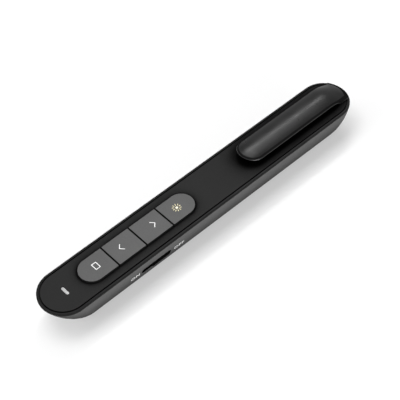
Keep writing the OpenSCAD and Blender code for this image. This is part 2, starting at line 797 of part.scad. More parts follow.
module switch_body() {
    slot_l = switch_travel + 2;
    color([0.72, 0.72, 0.72]) difference() {
        union() {
            translate([switch_x, -switch_can_y + switch_can[1] / 2, switch_z])
                cube(switch_can, center = true);
            // ears soldered to the board
            for (s = [-1, 1]) translate([switch_x + s * switch_can[0] / 2, -switch_can_y + 1.5,
                board_z + 0.15]) cube([2.4, 1, 0.3], center = true);
        }
        translate([switch_x, -switch_can_y, switch_z]) cube([slot_l, 3.2, 1.2], center = true);
    }
}

lever_w = 1.4;
lever_h = 1;

module switch_lever() {
    color([0.12, 0.12, 0.12]) block(
        [switch_x + knob_rest - lever_w / 2, -knob_plate_y + 0.1, switch_z - lever_h / 2],
        [switch_x + knob_rest + lever_w / 2, -switch_can_y + 1, switch_z + lever_h / 2]);
}

module switch_knob() {
    grip = 0.25;
    color([0.06, 0.06, 0.06]) translate([switch_x + knob_rest, 0, switch_z]) difference() {
        union() {
            translate([0, -knob_plate_y + knob_plate_t / 2, 0])
                cube([knob_plate_l, knob_plate_t, knob_plate_h], center = true);
            translate([0, -knob_plate_y + 0.1, 0]) rotate([90, 0, 0])
                linear_extrude(rim_r - knob_plate_y - 0.1)
                    stadium(knob_l, switch_slot_h - 2 * slide_gap);
        }
        // grip grooves
        for (i = [-2:2]) translate([i * 1.2, -rim_r, 0]) cube([0.5, 2 * grip, 5], center = true);
        // pocket that takes the lever
        cube([lever_w + 0.1, 2 * (knob_plate_y - 0.05), lever_h + 0.1], center = true);
    }
}

// ---------------------------------------------------------------- battery

module battery_cell() {
    color([0.75, 0.62, 0.2]) translate([0, 0, cell_z]) {
        rod_x(cell_x, cell_x + cell_l - nub_h, cell_d);
        rod_x(cell_x + cell_l - nub_h - 0.1, cell_x + cell_l, 3.8);
    }
}

// Coil spring, wound with a shrinking radius from its contact to the cell
module battery_spring() {
    turns = 3;
    per_turn = 18;
    sides = 6;
    spring_wire = 0.5;
    r0 = 3.6;
    r1 = 2.2;
    last = turns * per_turn;
    rings = [for (k = [0:last]) let (f = k / last, a = 360 * turns * f, r = r0 + (r1 - r0) * f,
        x = contact_x + contact_t + spring_wire / 2
            + (spring_l - spring_wire) * max(0, min(1, (f * turns - 0.5) / (turns - 1))))
        [for (i = [0:sides - 1]) let (b = -360 * i / sides, q = r + spring_wire / 2 * cos(b))
            [x + spring_wire / 2 * sin(b), q * cos(a), cell_z + q * sin(a)]]];
    color([0.75, 0.75, 0.77]) skin(rings);
}

contact_y = 4;

module spring_contact() {
    color([0.75, 0.75, 0.77]) {
        bar(contact_x, contact_x + contact_t, contact_y, cover_h + 0.3, board_z + 1);
        // tab soldered to the board
        bar(board_x1 - wire_pad, contact_x + 0.1, 1.5, board_z, board_z + 0.3);
    }
}

module nub_contact() {
    color([0.75, 0.75, 0.77]) {
        bar(nub_contact_x, nub_contact_x + contact_t, contact_y, cover_h + 0.3, wire_z + wire_step);
        // dimple that meets the terminal
        translate([0, 0, cell_z]) rod_x(cell_x + cell_l, nub_contact_x + 0.1, 2.4);
    }
}

// Wire along the cell on one side: from x0 to x1 at height z, then across to y1
module side_wire(side, x0, x1, z, y1) {
    translate([0, 0, z]) mirror([0, side > 0 ? 0 : 1, 0]) {
        translate([0, wire_y, 0]) rod_x(x0, x1 - wire_bend, wire_d);
        translate([x1 - wire_bend, wire_y - wire_bend, 0]) rotate_extrude(angle = 90)
            translate([wire_bend, 0]) circle(d = wire_d);
        translate([x1, wire_y - wire_bend, 0]) rotate([90, 0, 0])
            cylinder(h = wire_y - wire_bend - y1, d = wire_d);
    }
}

module battery_wire() {
    color([0.7, 0.1, 0.1])
        side_wire(-1, board_x1 - wire_pad, nub_contact_x + contact_t - wire_d / 2, wire_z, contact_y);
}

module battery_cover() {
    ridge_n = 6;
    end_gap = 0.1;
    color([0.22, 0.22, 0.23]) difference() {
        intersection() {
            hull_solid();
            bar(cover_x + end_gap, big, big, 0, cover_h - seat_gap);
        }
        hull_solid(wall, lift = 2);
        // grooves that run on the rails, open towards the tail
        for (s = [0, 1]) mirror([0, s, 0]) {
            block([-big, rail_y - 1, rail_z - slide_gap],
                [rail_x1 + slide_gap, rail_y + rail_web + 0.1, big]);
            block([-big, rail_y - 1, rail_z - slide_gap],
                [rail_x1 + slide_gap, rail_y + rail_web + rail_flange + 0.1,
                    rail_z + rail_flange_t + 0.1]);
        }
        // finger grooves
        for (i = [0:ridge_n - 1])
            bar(cover_x + 42 + 2 * i, cover_x + 43 + 2 * i, 3, -1, 0.35);
    }
}

// ---------------------------------------------------------------- laser

lens_d = barrel_d - 1.6;
lens_t = 1.2;
diode_d = barrel_d - 2.4;
laser_board_y = 3.2;
laser_board_t = 0.8;

module laser_barrel() {
    color([0.8, 0.65, 0.3]) translate([0, 0, laser_z]) difference() {
        rod_x(barrel_x, barrel_x + barrel_l, barrel_d);
        rod_x(barrel_x - 1, barrel_x + barrel_l + 1, 2.6);
        rod_x(barrel_x - 1, barrel_x + 4, diode_d + 0.1);
        rod_x(barrel_x + barrel_l - lens_t - 0.3, barrel_x + barrel_l + 1, lens_d);
    }
}

module laser_lens() {
    bulge_r = 6;
    x = barrel_x + barrel_l - lens_t - 0.3;
    color([0.8, 0.85, 0.95]) translate([x, 0, laser_z]) intersection() {
        rod_x(0, lens_t, lens_d - 0.04);
        translate([lens_t - bulge_r, 0, 0]) sphere(bulge_r);
    }
}

module laser_diode() {
    color([0.7, 0.6, 0.35]) translate([0, 0, laser_z]) {
        rod_x(barrel_x, barrel_x + 1.2, diode_d);
        rod_x(barrel_x + 1.1, barrel_x + 3.4, 2.4);
        for (a = [90, 210, 330]) rotate([a, 0, 0]) translate([0, 0, 0.9])
            rod_x(laser_board_x + laser_board_t, barrel_x + 0.1, 0.4);
    }
}

module laser_board() {
    color([0.1, 0.32, 0.2])
        block([laser_board_x, -laser_board_y, laser_z - laser_board_y],
            [laser_board_x + laser_board_t, laser_board_y, wire_z + wire_step + wire_d / 2 + 0.15]);
}

module laser_wires() {
    color([0.15, 0.15, 0.16])
        for (i = [0, 1]) side_wire(1, board_x1 - wire_pad, laser_board_x + laser_board_t / 2,
            wire_z + wire_step * i, laser_board_y);
}

module laser_window() {
    color([0.35, 0.05, 0.06, 0.8]) translate([0, 0, laser_z])
        rod_x(window_x, window_x + window_t, window_d - 0.06);
}

// ---------------------------------------------------------------- receiver

magnet_d = 5;
magnet_t = 0.6;
magnet_x = stow_x - 6.5;

module bay_magnet() {
    color([0.55, 0.55, 0.58]) translate([magnet_x, 0, board_under - magnet_t])
        cylinder(h = magnet_t, d = magnet_d);
}

cavity_y = 5.3;
cavity_z0 = 0.9;
cavity_z1 = 4.2;
cavity_l = 7.5;
tongue_y = 5.2;
tongue_z0 = 2.1;
tongue_z1 = plug_t - plug_sheet - 0.05;

// The cap lies with its short face down, its leaning end towards the tail
module receiver_cap() {
    cap_x = -cap_l - cap_bow;
    color([0.2, 0.2, 0.21]) translate([stow_x, 0, cap_z]) difference() {
        intersection() {
            translate([cap_x - cap_lean - 1, 0, cap_t / 2]) rotate([90, 0, 90])
                linear_extrude(cap_lean + 1 - cap_x) round_rect(cap_w, cap_t, cap_round);
            // leaning round end
            translate([cap_x, 0, 0]) rotate([0, -lean_angle, 0])
                translate([bow_r, 0, -20]) cylinder(h = 40, r = bow_r, $fn = 96);
        }
        // room for the tongue and its board
        block([-cavity_l, -cavity_y, cavity_z0], [1, cavity_y, cavity_z1]);
        // eyebrow groove for a fingernail
        translate([cap_x + 1.5, 0, -1]) linear_extrude(1.35) difference() {
            translate([7, 0]) circle(7);
            translate([9.2, 0]) circle(8.2);
            translate([2.2, -20]) square([40, 40]);
        }
    }
}

module receiver_plug() {
    hole = [1.8, 2.4];
    color([0.85, 0.85, 0.86]) translate([stow_x, 0, cap_z]) difference() {
        translate([0, 0, plug_t / 2]) rotate([90, 0, 90]) linear_extrude(plug_l)
            round_rect(plug_w, plug_t, 0.6);
        translate([-1, 0, plug_t / 2]) rotate([90, 0, 90]) linear_extrude(plug_l + 2)
            round_rect(plug_w - 2 * plug_sheet, plug_t - 2 * plug_sheet, 0.3);
        // square windows in both broad faces
        for (s = [-1, 1])
            translate([6.4, s * 3.05, plug_t / 2]) cube([hole[0], hole[1], plug_t + 2], center = true);
        // latch marks next to the cap
        for (s = [-1, 1]) translate([1.3, s * 2.6, 0]) cube([1, 1.2, 0.2], center = true);
    }
}

module receiver_tongue() {
    color([0.93, 0.93, 0.92]) translate([stow_x, 0, cap_z]) difference() {
        block([-cavity_l + 0.2, -tongue_y, tongue_z0], [plug_l - 0.4, tongue_y, tongue_z1]);
        // beds of the four contacts
        for (y = contact_ys) block([1, y - 0.5, tongue_z0 - 1], [plug_l, y + 0.5, tongue_z0 + 0.2]);
        // bed of the board
        block([-20, -20, tongue_z0 - 1], [-0.5, 20, tongue_z0 + 0.8]);
    }
}

contact_ys = [-3.5, -1, 1, 3.5];

module receiver_contacts() {
    color([0.85, 0.7, 0.35]) translate([stow_x, 0, cap_z])
        for (y = contact_ys) block([1.1, y - 0.45, tongue_z0], [plug_l - 0.5, y + 0.45, tongue_z0 + 0.2]);
}

module receiver_board() {
    color([0.1, 0.32, 0.2]) translate([stow_x, 0, cap_z]) {
        block([-cavity_l + 0.4, -4.6, tongue_z0], [-0.6, 4.6, tongue_z0 + 0.8]);
        block([-5, -1.5, tongue_z0 - 0.8], [-2, 1.5, tongue_z0 + 0.1]);
    }
}

bottom_shell();
top_frame();
top_plate();
led_window();
laser_window();
clip_root();
clip_washer();
clip_screws();
pocket_clip();
key_screen();
key_back();
key_next();
key_laser();
stem_screen();
stem_back();
stem_next();
stem_laser();
tact_screen();
tact_back();
tact_next();
tact_laser();
main_board();
board_screws();
radio_chip();
crystal();
chip_antenna();
boost_coil();
chip_capacitors();
status_led();
switch_body();
switch_lever();
switch_knob();
battery_cell();
battery_spring();
spring_contact();
nub_contact();
battery_wire();
battery_cover();
laser_barrel();
laser_lens();
laser_diode();
laser_board();
laser_wires();
bay_magnet();
receiver_cap();
receiver_plug();
receiver_tongue();
receiver_contacts();
receiver_board();
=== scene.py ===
# %% [markdown]
# # A wireless presentation clicker
# The packed model is the skeleton of this scene: every piece at its real size, in metres, with +X
# towards the head.  It could all be modelled anew here, but then the sizes would drift away from
# the model that moves.  So its pieces stay and get their finish, and a few give way to finer meshes.
# The box of the model is measured right after loading.

# %% Load the frame
import math

import bmesh
import bpy
import numpy as np
from mathutils import Matrix, Vector


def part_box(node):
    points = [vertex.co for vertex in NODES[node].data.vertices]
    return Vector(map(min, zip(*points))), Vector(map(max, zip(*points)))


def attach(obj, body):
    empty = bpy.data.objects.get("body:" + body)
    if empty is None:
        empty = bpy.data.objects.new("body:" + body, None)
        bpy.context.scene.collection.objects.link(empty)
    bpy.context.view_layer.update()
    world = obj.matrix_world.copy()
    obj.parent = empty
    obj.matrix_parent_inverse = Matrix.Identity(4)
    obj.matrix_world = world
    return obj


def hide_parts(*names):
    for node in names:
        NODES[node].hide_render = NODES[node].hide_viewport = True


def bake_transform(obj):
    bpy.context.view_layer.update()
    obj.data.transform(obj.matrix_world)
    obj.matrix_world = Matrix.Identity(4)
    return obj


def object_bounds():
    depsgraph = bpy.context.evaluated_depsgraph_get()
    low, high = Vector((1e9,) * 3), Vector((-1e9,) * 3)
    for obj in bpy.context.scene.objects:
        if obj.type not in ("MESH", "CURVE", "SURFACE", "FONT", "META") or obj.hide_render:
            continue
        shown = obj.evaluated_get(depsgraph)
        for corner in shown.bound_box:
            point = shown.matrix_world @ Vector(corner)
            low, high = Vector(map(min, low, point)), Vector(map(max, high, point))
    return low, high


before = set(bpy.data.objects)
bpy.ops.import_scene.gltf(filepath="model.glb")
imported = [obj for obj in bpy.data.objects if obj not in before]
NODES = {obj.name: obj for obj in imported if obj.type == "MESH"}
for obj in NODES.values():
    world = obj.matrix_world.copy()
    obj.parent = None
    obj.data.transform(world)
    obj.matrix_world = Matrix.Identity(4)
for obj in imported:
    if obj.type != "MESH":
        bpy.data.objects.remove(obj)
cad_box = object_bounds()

MM = 0.001

# %% [markdown]
# ## The camera
# A long lens, a little under half a metre away, keeps the two long edges nearly parallel.  A camera
# can be dragged into place or be given a matrix.  This one has a target on the desk, two angles, a
# roll and a distance, because those can be nudged one at a time.

# %% Camera
CAMERA_AZIMUTH = math.radians(-40.66)
CAMERA_ELEVATION = math.radians(50.56)
CAMERA_ROLL = math.radians(-2.83)
CAMERA_DISTANCE = 426.7 * MM
CAMERA_TARGET = Vector((3.2, 5.6, 0)) * MM
CAMERA_LENS = 102.86
CAMERA_NEAR = 0.01
CAMERA_FAR = 20


def aim(azimuth, elevation):
    """Direction from the target to a camera or lamp at these angles."""
    return Vector((math.sin(azimuth) * math.cos(elevation),
                   -math.cos(azimuth) * math.cos(elevation),
                   math.sin(elevation)))


def make_camera():
    """The camera, turned so that it looks back along its aim, with a little roll."""
    data = bpy.data.cameras.new("camera")
    data.lens = CAMERA_LENS
    data.clip_start = CAMERA_NEAR
    data.clip_end = CAMERA_FAR
    camera = bpy.data.objects.new("camera", data)
    bpy.context.scene.collection.objects.link(camera)
    back = aim(CAMERA_AZIMUTH, CAMERA_ELEVATION)
    right = Vector((math.cos(CAMERA_AZIMUTH), math.sin(CAMERA_AZIMUTH), 0))
    up = back.cross(right)
    tilted_right = right * math.cos(CAMERA_ROLL) + up * math.sin(CAMERA_ROLL)
    tilted_up = back.cross(tilted_right)
    turn = Matrix((tilted_right, tilted_up, back)).transposed().to_4x4()
    camera.matrix_world = Matrix.Translation(CAMERA_TARGET + back * CAMERA_DISTANCE) @ turn
    bpy.context.scene.camera = camera
    return camera


camera = make_camera()
print("camera at", [round(c, 3) for c in camera.location])

# %% [markdown]
# ## Wiring shader nodes
# Sky, floor and finishes are all built of shader nodes.  Each node could be added, set and linked
# by hand, in three or four lines.  A small class for the kinds that come back again and again
# leaves every finish short enough to read like a recipe.

# %% Short ways to wire nodes
class Wiring:
    """Adds nodes to a tree.  Values may be plain numbers or the outputs of other nodes."""

    def __init__(self, tree):
        self.nodes, self.links = tree.nodes, tree.links

    def put(self, socket, value):
        """Links an output to the socket, or writes a plain value on it."""
        if isinstance(value, bpy.types.NodeSocket):
            self.links.new(value, socket)
        else:
            socket.default_value = value

    def maths(self, operation, a, b, clamp=False):
        node = self.nodes.new("ShaderNodeMath")
        node.operation, node.use_clamp = operation, clamp
        self.put(node.inputs[0], a)
        self.put(node.inputs[1], b)
        return node.outputs[0]

    def scale(self, vector, factor):
        """A place or a colour times a number."""
        node = self.nodes.new("ShaderNodeVectorMath")
        node.operation = "SCALE"
        self.put(node.inputs[0], vector)
        self.put(node.inputs["Scale"], factor)
        return node.outputs[0]

    def millimetres(self, size):
        """The piece's own coordinates, so that one step is size millimetres."""
        place = self.nodes.new("ShaderNodeTexCoord").outputs["Object"]
        return self.scale(place, self.maths("DIVIDE", 1 / MM, size))

    def noise(self, size, detail=2.0, stretch=None):
        """Smooth noise from 0 to 1 whose lumps are about size millimetres."""
        place = self.millimetres(size)
        if stretch:
            node = self.nodes.new("ShaderNodeVectorMath")
            node.operation = "MULTIPLY"
            self.links.new(place, node.inputs[0])
            node.inputs[1].default_value = stretch
            place = node.outputs[0]
        node = self.nodes.new("ShaderNodeTexNoise")
        self.links.new(place, node.inputs["Vector"])
        node.inputs["Scale"].default_value = 1.0
        node.inputs["Detail"].default_value = detail
        return node.outputs["Fac"]

    def remap(self, value, low, high, to_low=0.0, to_high=1.0):
        """Takes the range low to high to the range to_low to to_high."""
        node = self.nodes.new("ShaderNodeMapRange")
        self.put(node.inputs["Value"], value)
        for label, number in (("From Min", low), ("From Max", high),
                              ("To Min", to_low), ("To Max", to_high)):
            self.put(node.inputs[label], number)
        return node.outputs["Result"]

    def mix(self, factor, a, b):
        """Colour a where the factor is 0, colour b where it is 1."""
        node = self.nodes.new("ShaderNodeMix")
        node.data_type = "RGBA"
        self.put(node.inputs["Factor"], factor)
        self.put(node.inputs["A"], a)
        self.put(node.inputs["B"], b)
        return node.outputs["Result"]


print("node helpers:", ", ".join(name for name in vars(Wiring) if not name.startswith("_")))

# %% [markdown]
# ## Sky and floor
# Black plastic shows its shape mostly by what it mirrors.  A sky that is simply white mirrors well,
# but it also lights the piece from all sides and washes the shadow out.  So this sky is white for
# rays that look or bounce, and dimmer for the light that it sheds.

# %% Sky
SKY_LIGHT = 0.27

bpy.context.scene.view_settings.view_transform = "Standard"


def seen_rays(wires):
    """1 for rays that are looked along, mirrored or let through, 0 for those that carry light."""
    ray = wires.nodes.new("ShaderNodeLightPath").outputs
    seen = wires.maths("MAXIMUM", ray["Is Camera Ray"], ray["Is Glossy Ray"])
    return wires.maths("MAXIMUM", seen, ray["Is Transmission Ray"])


def make_sky():
    world = bpy.data.worlds.new("studio")
    bpy.context.scene.world = world
    world.use_nodes = True
    wires = Wiring(world.node_tree)
    wires.nodes.clear()
    light = wires.nodes.new("ShaderNodeBackground")
    light.inputs["Strength"].default_value = SKY_LIGHT
    white = wires.nodes.new("ShaderNodeBackground")
    for shade in (light, white):
        shade.inputs["Color"].default_value = (1, 1, 1, 1)
    mix = wires.nodes.new("ShaderNodeMixShader")
    wires.put(mix.inputs[0], seen_rays(wires))
    wires.put(mix.inputs[1], light.outputs[0])
    wires.put(mix.inputs[2], white.outputs[0])
    out = wires.nodes.new("ShaderNodeOutputWorld")
    wires.put(out.inputs["Surface"], mix.outputs[0])


make_sky()
print("sky sheds", SKY_LIGHT, "of the white that it shows")

# %% [markdown]
# The desk is a sheet of white card.  A card that is only lit turns grey towards its edge, and one
# that only glows shows no shadow.  This one does both: it is matt, so it keeps the shadow, and it
# glows for rays that look or bounce, a little near the clicker and more far out.

# %% Floor
FLOOR_WHITE = 0.52
FLOOR_GLOW = 0.388
FAR_GLOW = 0.85
GLOW_RISES_FROM, GLOW_RISES_TO = 0.1, 0.5
FLOOR_SIZE = 4.0
FLOOR_GAP = 0.03 * MM


def white_card():
    """Matt white that also glows where it is looked at, more so far from the middle."""
    material = bpy.data.materials.new("white_card")
    material.use_nodes = True
    wires = Wiring(material.node_tree)
    wires.nodes.clear()
    card = wires.nodes.new("ShaderNodeBsdfDiffuse")
    card.inputs["Color"].default_value = (FLOOR_WHITE,) * 3 + (1,)
    distance = wires.nodes.new("ShaderNodeVectorMath")
    distance.operation = "LENGTH"
    wires.put(distance.inputs[0], wires.nodes.new("ShaderNodeTexCoord").outputs["Object"])
    rise = wires.remap(distance.outputs["Value"], GLOW_RISES_FROM, GLOW_RISES_TO, FLOOR_GLOW, FAR_GLOW)
    rise.node.interpolation_type = "SMOOTHSTEP"
    glow = wires.nodes.new("ShaderNodeEmission")
    wires.put(glow.inputs["Strength"], wires.maths("MULTIPLY", seen_rays(wires), rise))
    both = wires.nodes.new("ShaderNodeAddShader")
    wires.put(both.inputs[0], card.outputs[0])
    wires.put(both.inputs[1], glow.outputs[0])
    out = wires.nodes.new("ShaderNodeOutputMaterial")
    wires.put(out.inputs["Surface"], both.outputs[0])
    return material


def make_floor():
    mesh = bpy.data.meshes.new("floor")
    s, z = FLOOR_SIZE / 2, -FLOOR_GAP
    mesh.from_pydata([(-s, -s, z), (s, -s, z), (s, s, z), (-s, s, z)], [], [(0, 1, 2, 3)])
    mesh.materials.append(white_card())
    floor = bpy.data.objects.new("floor", mesh)
    bpy.context.scene.collection.objects.link(floor)


make_floor()
print("white card,", FLOOR_SIZE, "m wide")

# %% [markdown]
# ## Lamps
# Five lamps share the work.  A big soft box on the far side is seen only in the gloss: its
# reflection lies on the near slope of the clip.  An overhead panel gives only plain light, and with
# it the soft shadow that falls towards the viewer.  A narrow strip beyond the head draws the long
# line of light on the crest.  A low lamp at the viewer's side lights the near wall, and a weak one
# beyond the tail keeps the shadow from running out past the end.  One lamp could do most of it, but
# then a change to the shadow would move the reflections too.

# %% Lamps
def area_lamp(name, azimuth, elevation, distance, size, power, target=(0, 0, 0)):
    """A rectangular lamp, its first side along the clicker, aimed at the target."""
    data = bpy.data.lights.new(name, "AREA")
    data.shape = "RECTANGLE"
    data.size, data.size_y = size
    data.energy = power
    lamp = bpy.data.objects.new(name, data)
    bpy.context.scene.collection.objects.link(lamp)
    back = aim(math.radians(azimuth), math.radians(elevation))
    along = (Vector((1, 0, 0)) - back * back.x).normalized()
    turn = Matrix((along, back.cross(along), back)).transposed().to_4x4()
    lamp.matrix_world = Matrix.Translation(Vector(target) + back * distance) @ turn
    return lamp


softbox = area_lamp("softbox", azimuth=121, elevation=66, distance=0.6, size=(0.26, 0.4), power=2.6)
softbox.visible_diffuse = False
overhead = area_lamp("overhead", azimuth=218, elevation=75, distance=0.6, size=(0.4, 0.26), power=2.2)
overhead.visible_glossy = False
area_lamp("strip", azimuth=131.5, elevation=55.5, distance=0.5, size=(0.22, 0.045), power=0.78,
          target=(0.04, 0, 0.0177))
area_lamp("fill", azimuth=-8, elevation=12, distance=0.7, size=(0.5, 0.12), power=3.8)
tail_lamp = area_lamp("tail", azimuth=250, elevation=35, distance=0.5, size=(0.3, 0.2), power=0.7)
tail_lamp.visible_glossy = False
print("lamps:", ", ".join(lamp.name for lamp in bpy.data.lights))

# %% [markdown]
# ## Finishes
# Moulded plastic is never one flat colour: its skin has a fine spark-eroded grain, and handling
# leaves it a little shinier in places.  It could be painted on as a picture, but a picture needs
# unwrapping and blurs close up, where noise stays sharp.  All the plastics share it, so it is one
# node group, with its own values in each material, working in the piece's own millimetres.

# %% Group: moulded skin
COLOUR, NUMBER = "NodeSocketColor", "NodeSocketFloat"
NOISE_SPAN = (0.3, 0.7)
PATCH_SPAN = (0.35, 0.65)
PATCH_SIZE = 9.0


def new_group(name, inputs, outputs):
    """An empty shader node group; inputs are (name, kind, default), outputs (name, kind)."""
    group = bpy.data.node_groups.new(name, "ShaderNodeTree")
    for label, kind, default in inputs:
        socket = group.interface.new_socket(label, in_out="INPUT", socket_type=kind)
        socket.default_value = default
    for label, kind in outputs:
        group.interface.new_socket(label, in_out="OUTPUT", socket_type=kind)
    given = group.nodes.new("NodeGroupInput").outputs
    result = group.nodes.new("NodeGroupOutput").inputs
    return group, Wiring(group), given, result


def moulded_skin():
    group, wires, given, result = new_group(
        "moulded skin",
        [("Colour", COLOUR, (0.1, 0.1, 0.1, 1)), ("Grain size", NUMBER, 0.25),
         ("Roughness", NUMBER, 0.5), ("Handling", NUMBER, 0.06), ("Mottle", NUMBER, 0.08)],
        [("Colour", COLOUR), ("Roughness", NUMBER), ("Height", NUMBER)])
    grain = wires.noise(given["Grain size"], detail=3.0)
    patches = wires.remap(wires.noise(PATCH_SIZE), *PATCH_SPAN, -1.0, 1.0)
    wear = wires.maths("MULTIPLY", patches, given["Handling"])
    speck = wires.maths("MULTIPLY", wires.remap(grain, *NOISE_SPAN, -1.0, 1.0), given["Mottle"])
    wires.put(result["Colour"], wires.scale(given["Colour"], wires.maths("ADD", speck, 1.0)))
    wires.put(result["Roughness"], wires.maths("ADD", given["Roughness"], wear, clamp=True))
    wires.put(result["Height"], grain)
    return group


MOULDED_SKIN = moulded_skin()
print("group:", MOULDED_SKIN.name)

# %% [markdown]
# A black part is darkened where little sky reaches it. Corners, the strips beside a part that
# stands up, and the lower wall near the floor get painted shade, while open faces keep their own
# colour.  The shade could be painted on by hand, but it would have to be painted again after each
# change of shape.  So it comes from the shape: how much sky a spot can see, sharpened by a power.

# %% Group: painted shade where sheltered
SHADE_REACH = 25
SKY_SAMPLES = 16


def painted_shade_where_sheltered():
    group, wires, given, result = new_group(
        "painted shade where sheltered",
        [("Deep colour", COLOUR, (0, 0, 0, 1)), ("Worn colour", COLOUR, (0.02, 0.02, 0.02, 1)),
         ("Sharpness", NUMBER, 6)],
        [("Colour", COLOUR)])
    sky = wires.nodes.new("ShaderNodeAmbientOcclusion")
    sky.samples = SKY_SAMPLES
    sky.inputs["Distance"].default_value = SHADE_REACH * MM
    open_face = wires.maths("POWER", sky.outputs["AO"], given["Sharpness"])
    # painted shade: where a spot sees little sky, its colour goes over to the shaded colour
    wires.put(result["Colour"], wires.mix(open_face, given["Deep colour"], given["Worn colour"]))
    return group


PAINTED_SHELTER_SHADE = painted_shade_where_sheltered()
print("painted shade reaches", SHADE_REACH, "mm from a wall")

# %% [markdown]
# A plastic is then a small function on top of the groups.  The moulded edges of the real pieces are
# rounded by a tenth of a millimetre or two.  Bevelling them in the mesh costs many faces, so a
# Bevel node bends only the light there, and the bump of the grain is laid over it.

# %% Plastic
def place_group(wires, group, **values):
    """A node that uses the group; an underscore in a value's name stands for a space."""
    node = wires.nodes.new("ShaderNodeGroup")
    node.node_tree = group
    for label, value in values.items():
        wires.put(node.inputs[label.replace("_", " ")], value)
    return node.outputs


def blank_material(name):
    """A material, its wiring, and the inputs of its one Principled shader."""
    material = bpy.data.materials.new(name)
    material.use_nodes = True
    wires = Wiring(material.node_tree)
    shader = next(n for n in wires.nodes if n.type == "BSDF_PRINCIPLED")
    return material, wires, shader.inputs


def bump(wires, height, depth, edge):
    """Normal of a surface whose relief is depth millimetres, with edges rounded by edge."""
    node = wires.nodes.new("ShaderNodeBump")
    node.inputs["Distance"].default_value = depth * MM
    wires.put(node.inputs["Height"], height)
    if edge:
        round_off = wires.nodes.new("ShaderNodeBevel")
        round_off.inputs["Radius"].default_value = edge * MM
        wires.put(node.inputs["Normal"], round_off.outputs[0])
    return node.outputs[0]


def plastic(name, colour, roughness, grain=0.25, depth=0.006, gloss=0.5, edge=0.12, mottle=0.08,
            shaded=None, sharpness=12):
    """shaded is the darker colour painted as shade on sheltered spots; None leaves the colour even."""
    material, wires, shader = blank_material(name)
    colour = (*colour, 1)
    if shaded:
        colour = place_group(wires, PAINTED_SHELTER_SHADE, Deep_colour=(*shaded, 1),
                             Worn_colour=colour, Sharpness=sharpness)["Colour"]
    skin = place_group(wires, MOULDED_SKIN, Colour=colour, Grain_size=grain,
                       Roughness=roughness, Mottle=mottle)
    wires.put(shader["Base Color"], skin["Colour"])
    wires.put(shader["Roughness"], skin["Roughness"])
    wires.put(shader["Normal"], bump(wires, skin["Height"], depth, edge))
    wires.put(shader["Specular IOR Level"], gloss)
    return material


def grey(level):
    """A neutral colour."""
    return (level, level, level)


print("plastics have a grain of", MOULDED_SKIN.interface.items_tree["Grain size"].default_value, "mm")

# %% [markdown]
# The body is matt black plastic and the clip a glossier black one.  The sliding parts hardly mirror
# at all, and the printed signs are white and cream.  Each could be a material drawn up by hand, but
# they differ only in a few numbers, so a row of calls keeps them easy to compare.

# %% Plastics of the clicker
# painted shade: the wall goes darker towards its bottom, where the floor hides the sky
SHELL = plastic("shell_plastic", grey(0.19), 0.6, gloss=0.01, shaded=grey(0.028), sharpness=2.5)
RIM = plastic("rim_plastic", grey(0.0105), 0.45, gloss=0.04)
# painted shade: the plate goes nearly black beside and under the clip, where it is sheltered
PLATE = plastic("plate_plastic", grey(0.0225), 0.5, gloss=0.01, depth=0.004,
                shaded=grey(0.0005), sharpness=10)
KEY = plastic("key_paint", grey(0.093), 0.6, gloss=0.08)
# painted shade: black for the key sides, standing in for the shade in the gaps between keys
KEY_GAP_SHADE = plastic("key_plastic", grey(0.008), 0.6, gloss=0.05)
CLIP_EDGE = plastic("clip_matt_edge", grey(0.008), 0.6, gloss=0.0)
CLIP_LIP = plastic("clip_lip", grey(0.006), 0.3, gloss=0.35, edge=0)
CLIP = plastic("clip_plastic", grey(0.006), 0.33, gloss=0.14, grain=0.2, depth=0.001, mottle=0.04)
SLIDER = plastic("slider_plastic", grey(0.002), 0.55, gloss=0.0)
CAP = plastic("cap_plastic", grey(0.014), 0.4, gloss=0.3)
LIGHT_PIPE = plastic("light_pipe", grey(0.33), 0.3, gloss=0.5, mottle=0.02)
INK = plastic("white_ink", grey(0.8), 0.5, mottle=0.03, edge=0)
PALE_INK = plastic("pale_ink", (0.88, 0.82, 0.58), 0.5, mottle=0.03, edge=0)
CREAM_INK = plastic("cream_ink", (0.8, 0.72, 0.42), 0.5, mottle=0.03, edge=0)
CHIP = plastic("chip_package", grey(0.02), 0.5, grain=0.1)
NYLON = plastic("white_nylon", (0.62, 0.61, 0.57), 0.45, mottle=0.03)
CERAMIC = plastic("ceramic", (0.5, 0.42, 0.3), 0.4, grain=0.15, mottle=0.05)
RED_WIRE = plastic("red_insulation", (0.4, 0.02, 0.02), 0.4, mottle=0.03)
BLACK_WIRE = plastic("black_insulation", grey(0.02), 0.4, mottle=0.03)
print("plastics:", MOULDED_SKIN.users)

# %% [markdown]
# Sheet metal has a rolling direction: fine scratches that run one way.  An anisotropic shader could
# hint at them, but it needs tangents and shows no single scratch.  The same noise as before,
# stretched along X, gives them to the plug, the contacts and the screws.

# %% Group and finish: rolled metal
STAIN_SIZE = 4.0
STAIN_RANGE = (0.96, 1.03)
SCRATCH_STRETCH = (0.04, 1.0, 1.0)
SCRATCH_SHINE = (-0.05, 0.07)


def rolled_metal():
    group, wires, given, result = new_group(
        "rolled metal",
        [("Colour", COLOUR, (0.6, 0.6, 0.6, 1)), ("Roughness", NUMBER, 0.25),
         ("Scratch size", NUMBER, 0.06)],
        [("Colour", COLOUR), ("Roughness", NUMBER), ("Height", NUMBER)])
    scratch = wires.noise(given["Scratch size"], stretch=SCRATCH_STRETCH)
    stain = wires.remap(wires.noise(STAIN_SIZE), *NOISE_SPAN, *STAIN_RANGE)
    wires.put(result["Colour"], wires.scale(given["Colour"], stain))
    wander = wires.remap(scratch, *NOISE_SPAN, *SCRATCH_SHINE)
    wires.put(result["Roughness"], wires.maths("ADD", given["Roughness"], wander, clamp=True))
    wires.put(result["Height"], scratch)
    return group


ROLLED_METAL = rolled_metal()


